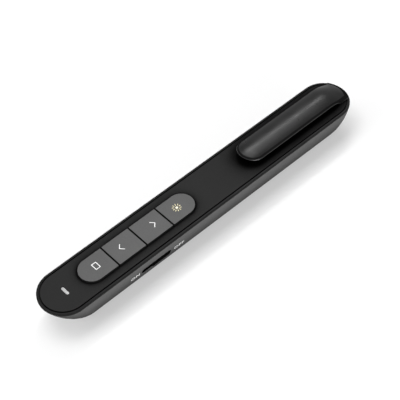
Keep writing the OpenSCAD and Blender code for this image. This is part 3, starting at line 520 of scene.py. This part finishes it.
def metal(name, colour, roughness, depth=0.0015, edge=0.08):
    material, wires, shader = blank_material(name)
    sheet = place_group(wires, ROLLED_METAL, Colour=(*colour, 1), Roughness=roughness)
    wires.put(shader["Base Color"], sheet["Colour"])
    wires.put(shader["Roughness"], sheet["Roughness"])
    wires.put(shader["Normal"], bump(wires, sheet["Height"], depth, edge))
    wires.put(shader["Metallic"], 1.0)
    return material


TIN = metal("tin_plate", (0.78, 0.77, 0.75), 0.24)
NICKEL = metal("nickel_plate", (0.62, 0.6, 0.56), 0.28)
ZINC = metal("zinc_plate", (0.55, 0.56, 0.58), 0.32)
BRASS = metal("turned_brass", (0.72, 0.52, 0.22), 0.28)
GOLD = metal("gold_plate", (0.85, 0.62, 0.26), 0.22)
print("metals:", ROLLED_METAL.users)

# %% [markdown]
# The circuit board is green lacquer over copper: tracks show as slightly lighter lines under it.
# They could be drawn one by one, but the board is seen only through gaps.  A brick pattern with
# rows one track wide is a quick and convincing layout of them.

# %% Circuit board
LACQUER = (0.006, 0.075, 0.03, 1)
LACQUER_ON_COPPER = (0.02, 0.15, 0.055, 1)
TRACKS = {"Scale": 1.0, "Mortar Size": 0.12, "Brick Width": 4.7, "Row Height": 0.6,
          "Mortar Smooth": 0.2}
BETWEEN_TRACKS = -0.02


def solder_mask(name):
    """Green lacquer with tracks; the measures are millimetres."""
    material, wires, shader = blank_material(name)
    tracks = wires.nodes.new("ShaderNodeTexBrick")
    wires.put(tracks.inputs["Vector"], wires.millimetres(1.0))
    for label, value in TRACKS.items():
        wires.put(tracks.inputs[label], value)
    bare = tracks.outputs["Fac"]
    wires.put(shader["Base Color"], wires.mix(bare, LACQUER_ON_COPPER, LACQUER))
    wires.put(shader["Normal"], bump(wires, bare, BETWEEN_TRACKS, edge=0.05))
    wires.put(shader["Roughness"], 0.25)
    return material


BOARD = solder_mask("solder_mask")
print("tracks every", TRACKS["Row Height"], "mm")

# %% [markdown]
# The laser's window and lens are clear pieces that light goes through, and the cell wears a printed
# sleeve with a bright band at its positive end.  The sleeve could be wrapped with a label, but two
# colours that change over along X need no label: the place alone decides.

# %% Glass and the cell's jacket
HAZE_SIZE = 1.5
HAZE = 0.05
BAND_FROM = 0.74
BAND_METAL = 0.6
JACKET_GRAIN = 0.8
JACKET_SHINE = (0.24, 0.34)
CELL_NUB = 1.3
JACKET_DARK = (0.03, 0.05, 0.09, 1)
JACKET_BRIGHT = (0.62, 0.6, 0.55, 1)
BARE_STEEL = (0.6, 0.6, 0.6, 1)


def tinted_glass(name, colour, roughness):
    material, wires, shader = blank_material(name)
    wires.put(shader["Base Color"], (*colour, 1))
    haze = wires.remap(wires.noise(HAZE_SIZE), *NOISE_SPAN, roughness, roughness + HAZE)
    wires.put(shader["Roughness"], haze)
    wires.put(shader["Transmission Weight"], 1.0)
    return material


def cell_jacket(name, low, high):
    """Printed sleeve of a cell that lies from low to high; the nub at its end stays bare."""
    material, wires, shader = blank_material(name)
    place = wires.nodes.new("ShaderNodeSeparateXYZ")
    wires.put(place.inputs[0], wires.millimetres(1.0))
    length = high - low
    along = wires.remap(place.outputs["X"], low, high)
    band = wires.maths("GREATER_THAN", along, BAND_FROM)
    end = wires.maths("GREATER_THAN", along, (length - CELL_NUB) / length)
    sleeve = wires.mix(band, JACKET_DARK, JACKET_BRIGHT)
    wires.put(shader["Base Color"], wires.mix(end, sleeve, BARE_STEEL))
    foil = wires.maths("MULTIPLY", band, BAND_METAL)
    wires.put(shader["Metallic"], wires.maths("MAXIMUM", foil, end))
    shine = wires.remap(wires.noise(JACKET_GRAIN), *NOISE_SPAN, *JACKET_SHINE)
    wires.put(shader["Roughness"], shine)
    return material


RED_GLASS = tinted_glass("red_window", (0.35, 0.02, 0.02), 0.05)
LENS_GLASS = tinted_glass("lens_glass", (0.95, 0.97, 1.0), 0.02)
cell_low, cell_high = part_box("battery_cell")
JACKET = cell_jacket("cell_jacket", cell_low.x / MM, cell_high.x / MM)
print("jacket of", round((cell_high.x - cell_low.x) / MM, 1), "mm")

# %% [markdown]
# ## Dressing the frame's own pieces
# Most pieces keep the exact solids of the frame, and only need their finish.  It could be set piece
# by piece where each is made; one list by name shows at a glance who wears what, and whether a
# piece was forgotten.

# %% Finishes of the frame's nodes
FINISHES = {
    "bottom_shell": SHELL, "battery_cover": SHELL, "top_frame": RIM, "top_plate": PLATE,
    "laser_window": RED_GLASS, "switch_knob": SLIDER, "switch_lever": SLIDER,
    "switch_body": NICKEL, "clip_washer": ZINC, "clip_screws": ZINC, "board_screws": ZINC,
    "main_board": BOARD, "laser_board": BOARD, "receiver_board": BOARD,
    "radio_chip": CHIP, "boost_coil": CHIP, "crystal": NICKEL, "chip_antenna": CERAMIC,
    "chip_capacitors": CERAMIC, "status_led": NYLON, "battery_cell": JACKET,
    "battery_spring": NICKEL, "spring_contact": NICKEL, "nub_contact": NICKEL,
    "battery_wire": RED_WIRE, "laser_wires": BLACK_WIRE, "laser_barrel": BRASS,
    "laser_lens": LENS_GLASS, "laser_diode": GOLD, "bay_magnet": NICKEL,
    "receiver_cap": CAP, "receiver_plug": TIN, "receiver_tongue": NYLON,
    "receiver_contacts": GOLD, "led_window": LIGHT_PIPE, "pocket_clip": CLIP, "clip_root": CLIP,
}
KEY_NAMES = ("screen", "back", "next", "laser")
for key_name in KEY_NAMES:
    FINISHES["key_" + key_name] = KEY
    FINISHES["stem_" + key_name] = NYLON
    FINISHES["tact_" + key_name] = CHIP

for node_name, finish in FINISHES.items():
    mesh = NODES[node_name].data
    mesh.materials.clear()
    mesh.materials.append(finish)
left_plain = sorted(set(NODES) - set(FINISHES))
print("finished", len(FINISHES), "nodes; without a finish:", left_plain or "none")

# %% [markdown]
# ## Light that flows round
# The hull, the battery door and the coil spring are curved on the real clicker, but in the frame
# their skins are flat facets.  More facets would hide that and weigh more.  Instead, three pieces
# with the same points stand in for them, and their shading normals are averaged across the shallow
# edges, so that the light flows round while true corners stay crisp.

# %% Smoother light on the same points
SHALLOW = 32.0
SAME_SPOT = 1e-6


def column(items, field, width=1, kind=float):
    """One field of all points, corners or faces of a mesh, as an array."""
    values = np.zeros(len(items) * width, kind)
    items.foreach_get(field, values)
    return values.reshape(-1, width) if width > 1 else values


def smooth_light(mesh):
    """Averages the shading normals of faces that meet at less than SHALLOW degrees."""
    points = column(mesh.vertices, "co", 3)
    places, spot = np.unique(np.round(points / SAME_SPOT).astype(np.int64), axis=0,
                             return_inverse=True)
    spot = spot.ravel()[column(mesh.loops, "vertex_index", kind=np.int64)]
    normal = column(mesh.polygons, "normal", 3)
    area = column(mesh.polygons, "area")
    total = column(mesh.polygons, "loop_total", kind=np.int64)
    face = np.repeat(np.arange(len(total)), total)
    at_spot = [[] for _ in places]
    for corner, place in enumerate(spot):
        at_spot[place].append(face[corner])
    least = math.cos(math.radians(SHALLOW))
    result = np.zeros((len(spot), 3))
    for corner, place in enumerate(spot):
        near = np.array(at_spot[place])
        own = normal[face[corner]]
        near = near[normal[near] @ own > least]
        blend = (normal[near] * area[near, None]).sum(0)
        length = np.linalg.norm(blend)
        result[corner] = blend / length if length > 0 else own
    mesh.normals_split_custom_set(result.tolist())


def add_piece(name, mesh, body):
    """Puts a mesh into the scene, as a piece that rides on a body if one is given."""
    piece = bpy.data.objects.new(name, mesh)
    bpy.context.scene.collection.objects.link(piece)
    if body:
        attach(piece, body)
    return piece


def smooth_stand_in(name, node, body):
    """A piece with the exact points of a node, but with light that flows round its facets."""
    mesh = NODES[node].data.copy()
    mesh.name = name
    smooth_light(mesh)
    piece = add_piece(name, mesh, body)
    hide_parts(node)
    return piece


lower_shell = smooth_stand_in("lower_shell", "bottom_shell", "body")
smooth_stand_in("battery_door", "battery_cover", "cover")
smooth_stand_in("coil_spring", "battery_spring", "body")
print("lower shell:", len(lower_shell.data.polygons), "faces")

# %% [markdown]
# The slot of the power switch is a dark slit in the side wall, since little light finds its way in.
# Real depth would do that alone, but the lamp at the viewer's side is low and reaches its walls.
# So the faces inside the slot, picked out by where they lie, wear the slider's black.

# %% Black inside the switch's slot
SLOT_ENDS = (-37.7, -24.2)
SLOT_MARGINS = (0.5, 0.4)
SLOT_Y = (-9.3, -7.0)
SLOT_Z = (7.1, 9.7)


def in_slot(x, y, z):
    """Whether a face whose middle is here belongs to the slot's walls."""
    along = SLOT_ENDS[0] - SLOT_MARGINS[0] < x < SLOT_ENDS[1] + SLOT_MARGINS[1]
    return along and SLOT_Y[0] < y < SLOT_Y[1] and SLOT_Z[0] < z < SLOT_Z[1]


lower_shell.data.materials.append(SLIDER)
slot_faces = [f for f in lower_shell.data.polygons if in_slot(*(f.center / MM))]
for face in slot_faces:
    face.material_index = 1
print("slot:", len(slot_faces), "faces")

# %% [markdown]
# ## Building blocks for the finer meshes
# The finer pieces are made from lists of points and faces.  Edit mode and modifiers could make
# them too, but lists take their sizes straight from the frame, and a few lines serve them all.
# Most skins are rings of equally many points, one above the other, with quads between them.

# %% Pieces from rings of points
SHARP_FROM = 40.0


def make_piece(name, points, faces, finish, body, slot):
    """A mesh piece from points in millimetres, dressed and riding on a body."""
    mesh = bpy.data.meshes.new(name)
    mesh.from_pydata([tuple(c * MM for c in p) for p in points], [], faces)
    mesh.validate()
    mesh.shade_smooth()
    mesh.set_sharp_from_angle(angle=math.radians(SHARP_FROM))
    mesh.materials.append(finish)
    return add_piece(name, mesh, body)


def skin(rings):
    """Points and faces of a closed skin through equal rings, listed from the bottom up."""
    n = len(rings[0])
    points = [p for ring in rings for p in ring]
    faces = [tuple(range(n - 1, -1, -1))]
    for k in range(len(rings) - 1):
        for i in range(n):
            j = (i + 1) % n
            faces.append((k * n + i, k * n + j, (k + 1) * n + j, (k + 1) * n + i))
    faces.append(tuple((len(rings) - 1) * n + i for i in range(n)))
    return points, faces


def join(parts):
    """One list of points and faces from several."""
    points, faces = [], []
    for p, f in parts:
        faces += [tuple(i + len(points) for i in face) for face in f]
        points += p
    return points, faces


def span(node):
    """Lowest and highest corner of a node in millimetres."""
    low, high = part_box(node)
    return [c / MM for c in low], [c / MM for c in high]


plate_low, plate_high = span("top_plate")
print("plate up to", round(plate_high[2], 2), "mm")

# %% [markdown]
# Keys, windows and signs are thin plates with round corners.  They could be boxes with a Bevel
# modifier, which gives less say over where the rounding starts.  Here a plate is a stack of
# outlines, each a little smaller than the last, which turns its upper edge into a true round.

# %% Plates with round edges
HAIR = 0.001


def outline(x0, x1, half, r0, r1, inset, steps):
    """Plan of a plate from x0 to x1, half to each side, corner radii r0 and r1, less the inset."""
    ring = []
    for cx, cy, r, start in ((x1 - r1, -(half - r1), r1, -90), (x1 - r1, half - r1, r1, 0),
                             (x0 + r0, half - r0, r0, 90), (x0 + r0, -(half - r0), r0, 180)):
        for i in range(steps + 1):
            a = math.radians(start + 90 * i / steps)
            ring.append((cx + (r - inset) * math.cos(a), cy + (r - inset) * math.sin(a)))
    return ring


def round_over(z0, z1, r, steps=5):
    """Insets and heights of a side from z0 to z1 whose top edge is rounded with radius r."""
    arc = [(r * (1 - math.cos(a)), z1 - r + r * math.sin(a))
           for a in (math.pi / 2 * i / steps for i in range(steps + 1))]
    return [(0.0, z0)] + arc


def plate(x0, x1, half, r0, r1, profile, steps):
    """Closed plate: profile lists (inset, z) from the bottom up."""
    return skin([[(x, y, z) for x, y in outline(x0, x1, half, r0, r1, inset, steps)]
                 for inset, z in profile])


print("a rounded edge takes", len(round_over(0, 1, 0.1)), "outlines")

# %% [markdown]
# ## The four keys
# They share one long outline with round ends, cut by three thin gaps.  Each gets crisp but rounded
# upper edges, which catch a thin line of light, and a flange below that keeps it under the plate.
# The caps are grey on top.  One grey all over would show the gaps grey, so the grey ends on the
# rounded edge, and the faces below it are painted black, as the shade in the gaps.

# %% Keys
KEY_WIDTH = 10.4
KEY_ROUND = 0.32
KEY_CORNER = 0.34
KEY_STEPS = 16
# below this height the key sides are painted black, as shade in the gaps
GAP_SHADE_LINE = 14.23
FLANGE = 0.4
FLANGE_CORNER = 0.1
FACES_DOWN = -0.5
GUIDE_BELOW_FLANGE = 0.4
flange_z = plate_low[2] + GUIDE_BELOW_FLANGE


def make_key(name, tail_end, head_end):
    """A cap with a grey top, sides painted black as shade in the gaps, and its flange."""
    low, high = span("key_" + name)
    half = KEY_WIDTH / 2
    rim = (high[1] - low[1]) / 2 - half
    x0 = low[0] + (rim if tail_end else 0)
    x1 = high[0] - (rim if head_end else 0)
    r0 = half - HAIR if tail_end else KEY_CORNER
    r1 = half - HAIR if head_end else KEY_CORNER
    cap = plate(x0, x1, half, r0, r1, round_over(flange_z, high[2], KEY_ROUND), KEY_STEPS)
    r0 = half + rim - HAIR if tail_end else FLANGE_CORNER
    r1 = half + rim - HAIR if head_end else FLANGE_CORNER
    flange = plate(low[0], high[0], half + rim, r0, r1,
                   [(0.0, flange_z), (0.0, flange_z + FLANGE)], KEY_STEPS)
    piece = make_piece("cap_of_key_" + name, *join([cap, flange]), KEY, name + "_key", "key")
    # faces below the line are painted black: the shade in the gaps between the keys
    piece.data.materials.append(KEY_GAP_SHADE)
    for face in piece.data.polygons:
        if face.center.z < GAP_SHADE_LINE * MM and face.normal.z > FACES_DOWN:
            face.material_index = 1
    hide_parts("key_" + name)


key_top = span("key_screen")[1][2]
for key_name in KEY_NAMES:
    make_key(key_name, tail_end=key_name == KEY_NAMES[0], head_end=key_name == KEY_NAMES[-1])
print("keys up to", round(key_top, 2), "mm")

# %% [markdown]
# ## Signs on the keys
# Pad printing lays down a film of ink a few hundredths of a millimetre thick.  A sign could be a
# mask in the key's shader, but its edge would only be as sharp as the sampling.  As a thin solid it
# is crisp at any distance and catches light on its edge.  A stroke is a line with a width.

# %% Strokes of ink
INK_RISE = 0.02
MITRE_LIMIT = 0.3


def stroke(points, width, closed=False):
    """Left and right side of a line of this width through the points, mitred at the corners."""
    p = np.array(points, float)
    n = len(p)
    sides = []
    for i in range(n):
        before = p[i] - p[i - 1] if closed or i > 0 else p[1] - p[0]
        after = p[(i + 1) % n] - p[i] if closed or i < n - 1 else p[-1] - p[-2]
        a, b = before / np.linalg.norm(before), after / np.linalg.norm(after)
        across = np.array([-(a + b)[1], (a + b)[0]])
        across /= np.linalg.norm(across)
        reach = width / 2 / max(MITRE_LIMIT, abs(across @ np.array([-a[1], a[0]])))
        sides.append((p[i] + across * reach, p[i] - across * reach))
    return sides


def film(sides, z, closed=False):
    """Thin solid between the two sides of a stroke, from just under z to INK_RISE above."""
    rings = [[(*left, z - INK_RISE), (*right, z - INK_RISE), (*right, z + INK_RISE),
              (*left, z + INK_RISE)] for left, right in sides]
    points = [q for ring in rings for q in ring]
    faces = []
    n = len(rings)
    for k in range(n if closed else n - 1):
        a, b = k * 4, ((k + 1) % n) * 4
        faces += [(a + i, a + (i + 1) % 4, b + (i + 1) % 4, b + i) for i in range(4)]
    if not closed:
        faces += [(0, 3, 2, 1), tuple((n - 1) * 4 + i for i in range(4))]
    return points, faces


def disc(x, y, z, r, steps=20):
    """A round film of ink."""
    ring = [(x + r * math.cos(2 * math.pi * i / steps), y + r * math.sin(2 * math.pi * i / steps))
            for i in range(steps)]
    return skin([[(*q, z - INK_RISE) for q in ring], [(*q, z + INK_RISE) for q in ring]])


print("ink stands", INK_RISE, "mm up")

# %% [markdown]
# The signs say what the keys do: a blank screen, an arrow to each side for the page before and the
# page after, and a small sun for the laser.  They could be letters of a symbol font, but then the
# line's width would not be ours to choose.  Each is a few strokes round a middle that is named once.

# %% Signs
STROKE = 0.27
RAY = 0.22
SUN_DISC = 0.5
SIGN_AT = {
    "screen": (-49.8, 0.2, key_top),
    "back": (-38.6, 0.2, key_top),
    "next": (-23.55, 0.2, key_top),
    "laser": (-12.75, -0.1, key_top),
}


def sign_screen(x, y, z):
    half_x, half_y = 0.9, 1.3
    corners = [(x - half_x, y - half_y), (x + half_x, y - half_y),
               (x + half_x, y + half_y), (x - half_x, y + half_y)]
    return film(stroke(corners, STROKE, closed=True), z, closed=True)


def sign_arrow(x, y, z, way):
    """An open arrow head; way is 1 towards the head, -1 towards the tail."""
    depth, half_y = 1.3, 1.45
    return film(stroke([(x - way * depth / 2, y - half_y), (x + way * depth / 2, y),
                        (x - way * depth / 2, y + half_y)], STROKE), z)


def sign_sun(x, y, z):
    rays, inner, outer = 10, 1.0, 1.75
    lines = []
    for i in range(rays):
        a = 2 * math.pi * i / rays
        tip = (math.cos(a), math.sin(a))
        lines.append(film(stroke([(x + inner * tip[0], y + inner * tip[1]),
                                  (x + outer * tip[0], y + outer * tip[1])], RAY), z))
    return join(lines)


make_piece("sign_screen", *sign_screen(*SIGN_AT["screen"]), INK, "screen_key", "white")
make_piece("sign_back", *sign_arrow(*SIGN_AT["back"], way=-1), INK, "back_key", "white")
make_piece("sign_next", *sign_arrow(*SIGN_AT["next"], way=1), INK, "next_key", "white")
make_piece("sign_laser_rays", *sign_sun(*SIGN_AT["laser"]), CREAM_INK, "laser_key", "white")
make_piece("sign_laser_disc", *disc(*SIGN_AT["laser"], SUN_DISC), PALE_INK, "laser_key", "white")
print("signs on", ", ".join(SIGN_AT))

# %% [markdown]
# ## Indicator window
# The end of a milky light pipe, pressed into a slot across the plate near the tail.  The frame's
# window has sharp edges, which give no line of light.  So a plate with a rounded edge takes its
# place: it is built along X, like the keys, and then turned a quarter.

# %% Indicator window
LENS_ALONG = 1.2
LENS_ROUND = 0.15
LENS_STEPS = 8
FLANGE_BEYOND_LENS = 0.45
window_low, window_high = span("led_window")
lens_half = window_high[1] - FLANGE_BEYOND_LENS
middle = (window_low[0] + window_high[0]) / 2
end_radius = LENS_ALONG / 2 - HAIR
points, faces = plate(-lens_half, lens_half, LENS_ALONG / 2, end_radius, end_radius,
                      round_over(window_low[2], window_high[2], LENS_ROUND), LENS_STEPS)
turned = [(middle - y, x, z) for x, y, z in points]
indicator = make_piece("indicator_lens", turned, faces, LIGHT_PIPE, "body", "window")
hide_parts("led_window")
print("indicator at", round(middle, 1), "mm,", round(2 * lens_half, 1), "mm across")

# %% [markdown]
# ## The clip
# One springy moulding: a crowned blade that hangs over the plate, bends down at the head and grows
# into a solid root.  The frame has it as two stiff pieces, with a hinge that stands in for the bend.
# It could be carved by subdividing a box, but its heights follow simple rules.  So a few functions
# say how high the top and the underside are at any place, and the mesh follows them.

# %% Clip: sizes and heights
blade_low, blade_high = span("pocket_clip")
TOP = plate_high[2]
TIP_X = blade_low[0]
HALF = blade_high[1]
CREST = blade_high[2] - TOP
CROWN = 1.6
CROWN_SHARE = 0.6
DROOP = 0.7
BLADE = 1.0
BLADE_EDGE = 0.55
LIFT = 0.45
RIM_SHOWN = 0.3
BODY_END = cad_box[1].x / MM
BODY_HALF = cad_box[1].y / MM
END_X = BODY_END - RIM_SHOWN
CENTRE_X = BODY_END - BODY_HALF
END_R = END_X - CENTRE_X
BEND = 12.2
FLEX = 2.0
ROOT = 6.7
BEND_X = END_X - BEND
FLEX_X = BEND_X + FLEX
ROOT_X = END_X - ROOT
NEVER_ZERO = 0.01


def ease(x, a, b):
    """0 before a, 1 after b, smooth between."""
    f = min(1.0, max(0.0, (x - a) / (b - a)))
    return f * f * (3 - 2 * f)


def crest(x):
    """Height of the crest above the plate: it droops at the tip and bends down at the head."""
    if x > BEND_X:
        return CREST * max(0.0, 1 - ((x - BEND_X) / BEND) ** 2) + LIFT * ease(x, ROOT_X, END_X)
    if x < TIP_X + HALF:
        return CREST - DROOP * (1 - (x - TIP_X) / HALF) ** 2
    return CREST


def half_width(x):
    """A round tip, straight sides, then an end that follows the rim."""
    if x < TIP_X + HALF:
        return math.sqrt(max(NEVER_ZERO, HALF ** 2 - (TIP_X + HALF - x) ** 2))
    return min(HALF, math.sqrt(max(NEVER_ZERO, END_R ** 2 - max(0.0, x - CENTRE_X) ** 2)))


def top_height(x, y):
    """Height of the top above the plate; it falls away from the crest to both long edges."""
    half = half_width(x)
    crown = min(CROWN * (half / HALF) ** 2, CROWN_SHARE * crest(x))
    return crest(x) - crown * min(1.0, (y / half) ** 2)


def under_height(x, y, top):
    """Height of the underside: the blade thins to its edges, and the root sits on the plate."""
    if x >= ROOT_X:
        return 0.0
    out = min(1.0, abs(y) / half_width(x))
    thin = (half_width(x) / HALF) ** 2 if x < TIP_X + HALF else 1.0
    low = top - BLADE_EDGE - (BLADE - BLADE_EDGE) * (1 - out * out) * thin
    if x > FLEX_X:
        return low * (1 - ((x - FLEX_X) / (ROOT_X - FLEX_X)) ** 3)
    return low


print("clip from", round(TIP_X, 1), "to", round(END_X, 1), "mm, crest", round(CREST, 1), "mm up")

# %% [markdown]
# A section runs from the spine of the blade out over its long edge and back underneath.  The edge
# is not one plain round: the top rolls over first, and below it stands a thin lip that catches
# the light.  A Bevel modifier could round the edge, but it would know nothing of that lip.

# %% Clip: a section
TOP_STEPS, ROLL_STEPS, LIP_STEPS, UNDER_STEPS = 12, 6, 5, 7
EDGE_ROUND = 0.8
END_ROUND = 1.9
ROUND_GROWS_BEFORE = 1
LIP = 0.16
LIP_SHARE, LIP_HIGHEST = 0.5, 0.5
INSIDE = 0.02


def clip_section(foot, rim):
    """One half of the clip's section, from its spine over the edge and back underneath.
    foot is on the spine and rim on the outline, both in plan."""
    reach = (rim - foot).length
    way = (rim - foot) / reach
    grown = ease(rim.x, ROOT_X - ROUND_GROWS_BEFORE, END_X - ROUND_GROWS_BEFORE)
    roll = EDGE_ROUND + (END_ROUND - EDGE_ROUND) * grown
    edge_x = min(rim.x, END_X - INSIDE)
    edge_top = top_height(edge_x, rim.y)
    edge_low = under_height(edge_x, rim.y, edge_top)
    edge = edge_top - edge_low
    roll_depth = edge - min(LIP_SHARE * edge, LIP_HIGHEST)
    lip_top = edge_top - roll_depth
    ring = []

    def add(step, height):
        p = foot + way * max(0.0, reach - step)
        x = min(max(p.x, TIP_X + INSIDE), END_X - INSIDE)
        ring.append((p.x, p.y, TOP + height(x, p.y, top_height(x, p.y))))

    for k in range(TOP_STEPS):
        add(roll + (reach - roll) * (1 - math.sin(math.pi / 2 * k / TOP_STEPS)),
            lambda x, y, top: top)
    for k in range(ROLL_STEPS + 1):
        a = math.pi / 2 * k / ROLL_STEPS
        add(LIP + (roll - LIP) * (1 - math.sin(a)),
            lambda x, y, top, a=a: top - roll_depth * (1 - math.cos(a)))
    for k in range(1, LIP_STEPS + 1):
        a = math.pi / 2 * k / LIP_STEPS
        add(LIP * (1 - math.sin(a)),
            lambda x, y, top, a=a: lip_top - (lip_top - edge_low) * (1 - math.cos(a)))
    for k in range(1, UNDER_STEPS + 1):
        add(reach * k / UNDER_STEPS,
            lambda x, y, top: max(0.0, under_height(x, y, top)))
    return ring


print("a section has", TOP_STEPS + ROLL_STEPS + 1 + LIP_STEPS + UNDER_STEPS, "points")

# %% [markdown]
# The sections stand once round the blade: along one edge to the head, round its end, back along
# the other edge and round the tip.  Slices straight across would be simpler, but they would cut
# the round ends into slivers.  Each section has a foot on the spine and a rim on the outline, so
# it meets the edge nearly at a right angle everywhere.

# %% Clip: where the sections stand
SIDE_STEPS, END_STEPS, TIP_STEPS = 40, 24, 36
SPINE_END = CENTRE_X + 2.0
SPINE_SHORTENS = CENTRE_X - 6
CORNER_X = CENTRE_X + math.sqrt(END_R ** 2 - HALF ** 2)


def spine(x):
    """Foot on the spine for a rim at x; near the head the feet draw closer together."""
    if x < SPINE_SHORTENS:
        return x
    room = SPINE_END - SPINE_SHORTENS
    return SPINE_SHORTENS + room * (x - SPINE_SHORTENS) / (CORNER_X - SPINE_SHORTENS)


def clip_outline():
    """Feet and rims once round: up the far side, round the head end, back, round the tip."""
    tip_centre = TIP_X + HALF
    sides = [tip_centre + (CORNER_X - TIP_X - HALF) * k / SIDE_STEPS for k in range(SIDE_STEPS + 1)]
    turn = math.asin(HALF / END_R)
    pairs = [(Vector((spine(x), 0)), Vector((x, HALF))) for x in sides]
    for k in range(1, END_STEPS):
        a = turn * (1 - 2 * k / END_STEPS)
        pairs.append((Vector((SPINE_END, 0)),
                      Vector((CENTRE_X + END_R * math.cos(a), END_R * math.sin(a)))))
    pairs += [(Vector((spine(x), 0)), Vector((x, -HALF))) for x in reversed(sides)]
    for k in range(1, TIP_STEPS):
        a = -math.pi / 2 - math.pi * k / TIP_STEPS
        pairs.append((Vector((tip_centre, 0)),
                      Vector((tip_centre + HALF * math.cos(a), HALF * math.sin(a)))))
    return pairs


print("sections:", len(clip_outline()))

# %% [markdown]
# The skin is one sheet of quads, once round the clip.  All sections begin and end on the spine,
# where the doubled points are welded.  The finish changes by row: gloss on top, matt where it
# rolls over, a bright lip along the edge, and matt again below.  Two stiff pieces could meet at
# the hinge, but a gap would open there; so blade and root are one skin that bends down into the root.

# %% Clip: the mesh
WELD = 0.003
CLIP_SHARP = 60


def paint_clip(mesh, row_length):
    """Gives each row of the skin its finish, by its place in the section."""
    mesh.materials.append(CLIP_EDGE)
    mesh.materials.append(CLIP_LIP)
    lip_step = TOP_STEPS + ROLL_STEPS
    for face in mesh.polygons:
        step = min(i % row_length for i in face.vertices)
        if lip_step <= step < lip_step + LIP_STEPS:
            face.material_index = 2
        elif step >= TOP_STEPS:
            face.material_index = 1


def weld(mesh):
    """Joins the doubled points along the spine and says whether any edge stays open."""
    bm = bmesh.new()
    bm.from_mesh(mesh)
    bmesh.ops.remove_doubles(bm, verts=bm.verts, dist=WELD * MM)
    bmesh.ops.recalc_face_normals(bm, faces=bm.faces)
    print("clip:", len(bm.faces), "faces,", sum(e.is_boundary for e in bm.edges), "open edges")
    bm.to_mesh(mesh)
    bm.free()
    mesh.shade_smooth()
    mesh.set_sharp_from_angle(angle=math.radians(CLIP_SHARP))


def make_clip():
    rings = [clip_section(foot, rim) for foot, rim in clip_outline()]
    n, m = len(rings[0]), len(rings)
    faces = []
    for k in range(m):
        here, there = k * n, (k + 1) % m * n
        faces += [(here + i, here + i + 1, there + i + 1, there + i) for i in range(n - 1)]
    clip = make_piece("clip", [p for ring in rings for p in ring], faces, CLIP, None, "clip")
    paint_clip(clip.data, n)
    weld(clip.data)
    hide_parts("pocket_clip", "clip_root")
    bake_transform(clip)


make_clip()

# %% [markdown]
# Near the tip, a rib under the blade grips the cloth of a pocket.  It could be a plain cylinder
# sunk into the blade, but its ends would be sharp discs.  Rings that shrink towards both ends round
# them off.

# %% Grip rib
RIB_RADIUS = 1.6
RIB_HALF = 2.5
RIB_RISE = 0.5
RIB_STEPS = 32
RIB_ENDS = ((0.0, 0.3), (0.1, 0.08), (0.3, 0.0))
RIB_FROM_TIP = 5
rib_x = TIP_X + RIB_FROM_TIP


def rib_ring(y, r):
    """A ring round the rib's axis, which lies across the blade."""
    centre_z = TOP + RIB_RISE + RIB_RADIUS
    angles = [2 * math.pi * i / RIB_STEPS for i in range(RIB_STEPS)]
    return [(rib_x + r * math.cos(a), y, centre_z + r * math.sin(a)) for a in angles]


near_end = [rib_ring(-RIB_HALF + inward, RIB_RADIUS - shrink) for inward, shrink in RIB_ENDS]
far_end = [rib_ring(RIB_HALF - inward, RIB_RADIUS - shrink) for inward, shrink in reversed(RIB_ENDS)]
make_piece("clip_rib", *skin(near_end + far_end), CLIP, "clip", "clip")
print("rib at", round(rib_x, 1), "mm")

# %% [markdown]
# ## Words beside the switch
# ON and OFF are printed on the curved wall at both ends of the slot.  A text object could be bent
# with a modifier, but the wall is not a plain cylinder.  So the letters come from Blender's own
# font, as flat outlines, and every point is then laid on the skin of the hull.

# %% ON and OFF
SIDE_SWEEP = 6.5
SHELL_TOP = 12.6
HULL_DEPTH = 12.8
WORD_HEIGHT = 1.4
WORD_STRETCH = 1.3
WORD_Z = 8.3
LETTER_SPACING = 1.15
LETTER_WEIGHT = 0.02
ON_BEFORE_SLOT = 5.0
OFF_PAST_SLOT = 1.5


def wall_y(z):
    """Distance of the near wall from the middle at this height."""
    t = math.asin((SHELL_TOP - z) / HULL_DEPTH)
    return BODY_HALF - SIDE_SWEEP * (1 - math.cos(t))


def flat_letters(name, text):
    """Mesh of a text in Blender's own font."""
    curve = bpy.data.curves.new(name, "FONT")
    curve.body = text
    curve.size = 1.0
    curve.space_character = LETTER_SPACING
    curve.offset = LETTER_WEIGHT
    letters = bpy.data.objects.new(name + "_outline", curve)
    mesh = bpy.data.meshes.new_from_object(letters)
    bpy.data.objects.remove(letters)
    bpy.data.curves.remove(curve)
    return mesh


def make_word(name, text, x_left):
    """Lays a word on the wall, its left end at x_left, and returns its right end."""
    mesh = flat_letters(name, text)
    low = [min(v.co[i] for v in mesh.vertices) for i in (0, 1)]
    high = [max(v.co[i] for v in mesh.vertices) for i in (0, 1)]
    size = WORD_HEIGHT / (high[1] - low[1])
    for v in mesh.vertices:
        x = x_left + (v.co.x - low[0]) * size * WORD_STRETCH
        z = WORD_Z - WORD_HEIGHT / 2 + (v.co.y - low[1]) * size
        v.co = Vector((x, -wall_y(z) - INK_RISE, z)) * MM
    mesh.materials.append(INK)
    add_piece(name, mesh, "body")
    return x_left + (high[0] - low[0]) * size * WORD_STRETCH


print("ON ends at", round(make_word("word_on", "ON", SLOT_ENDS[0] - ON_BEFORE_SLOT), 1))
print("OFF ends at", round(make_word("word_off", "OFF", SLOT_ENDS[1] + OFF_PAST_SLOT), 1))
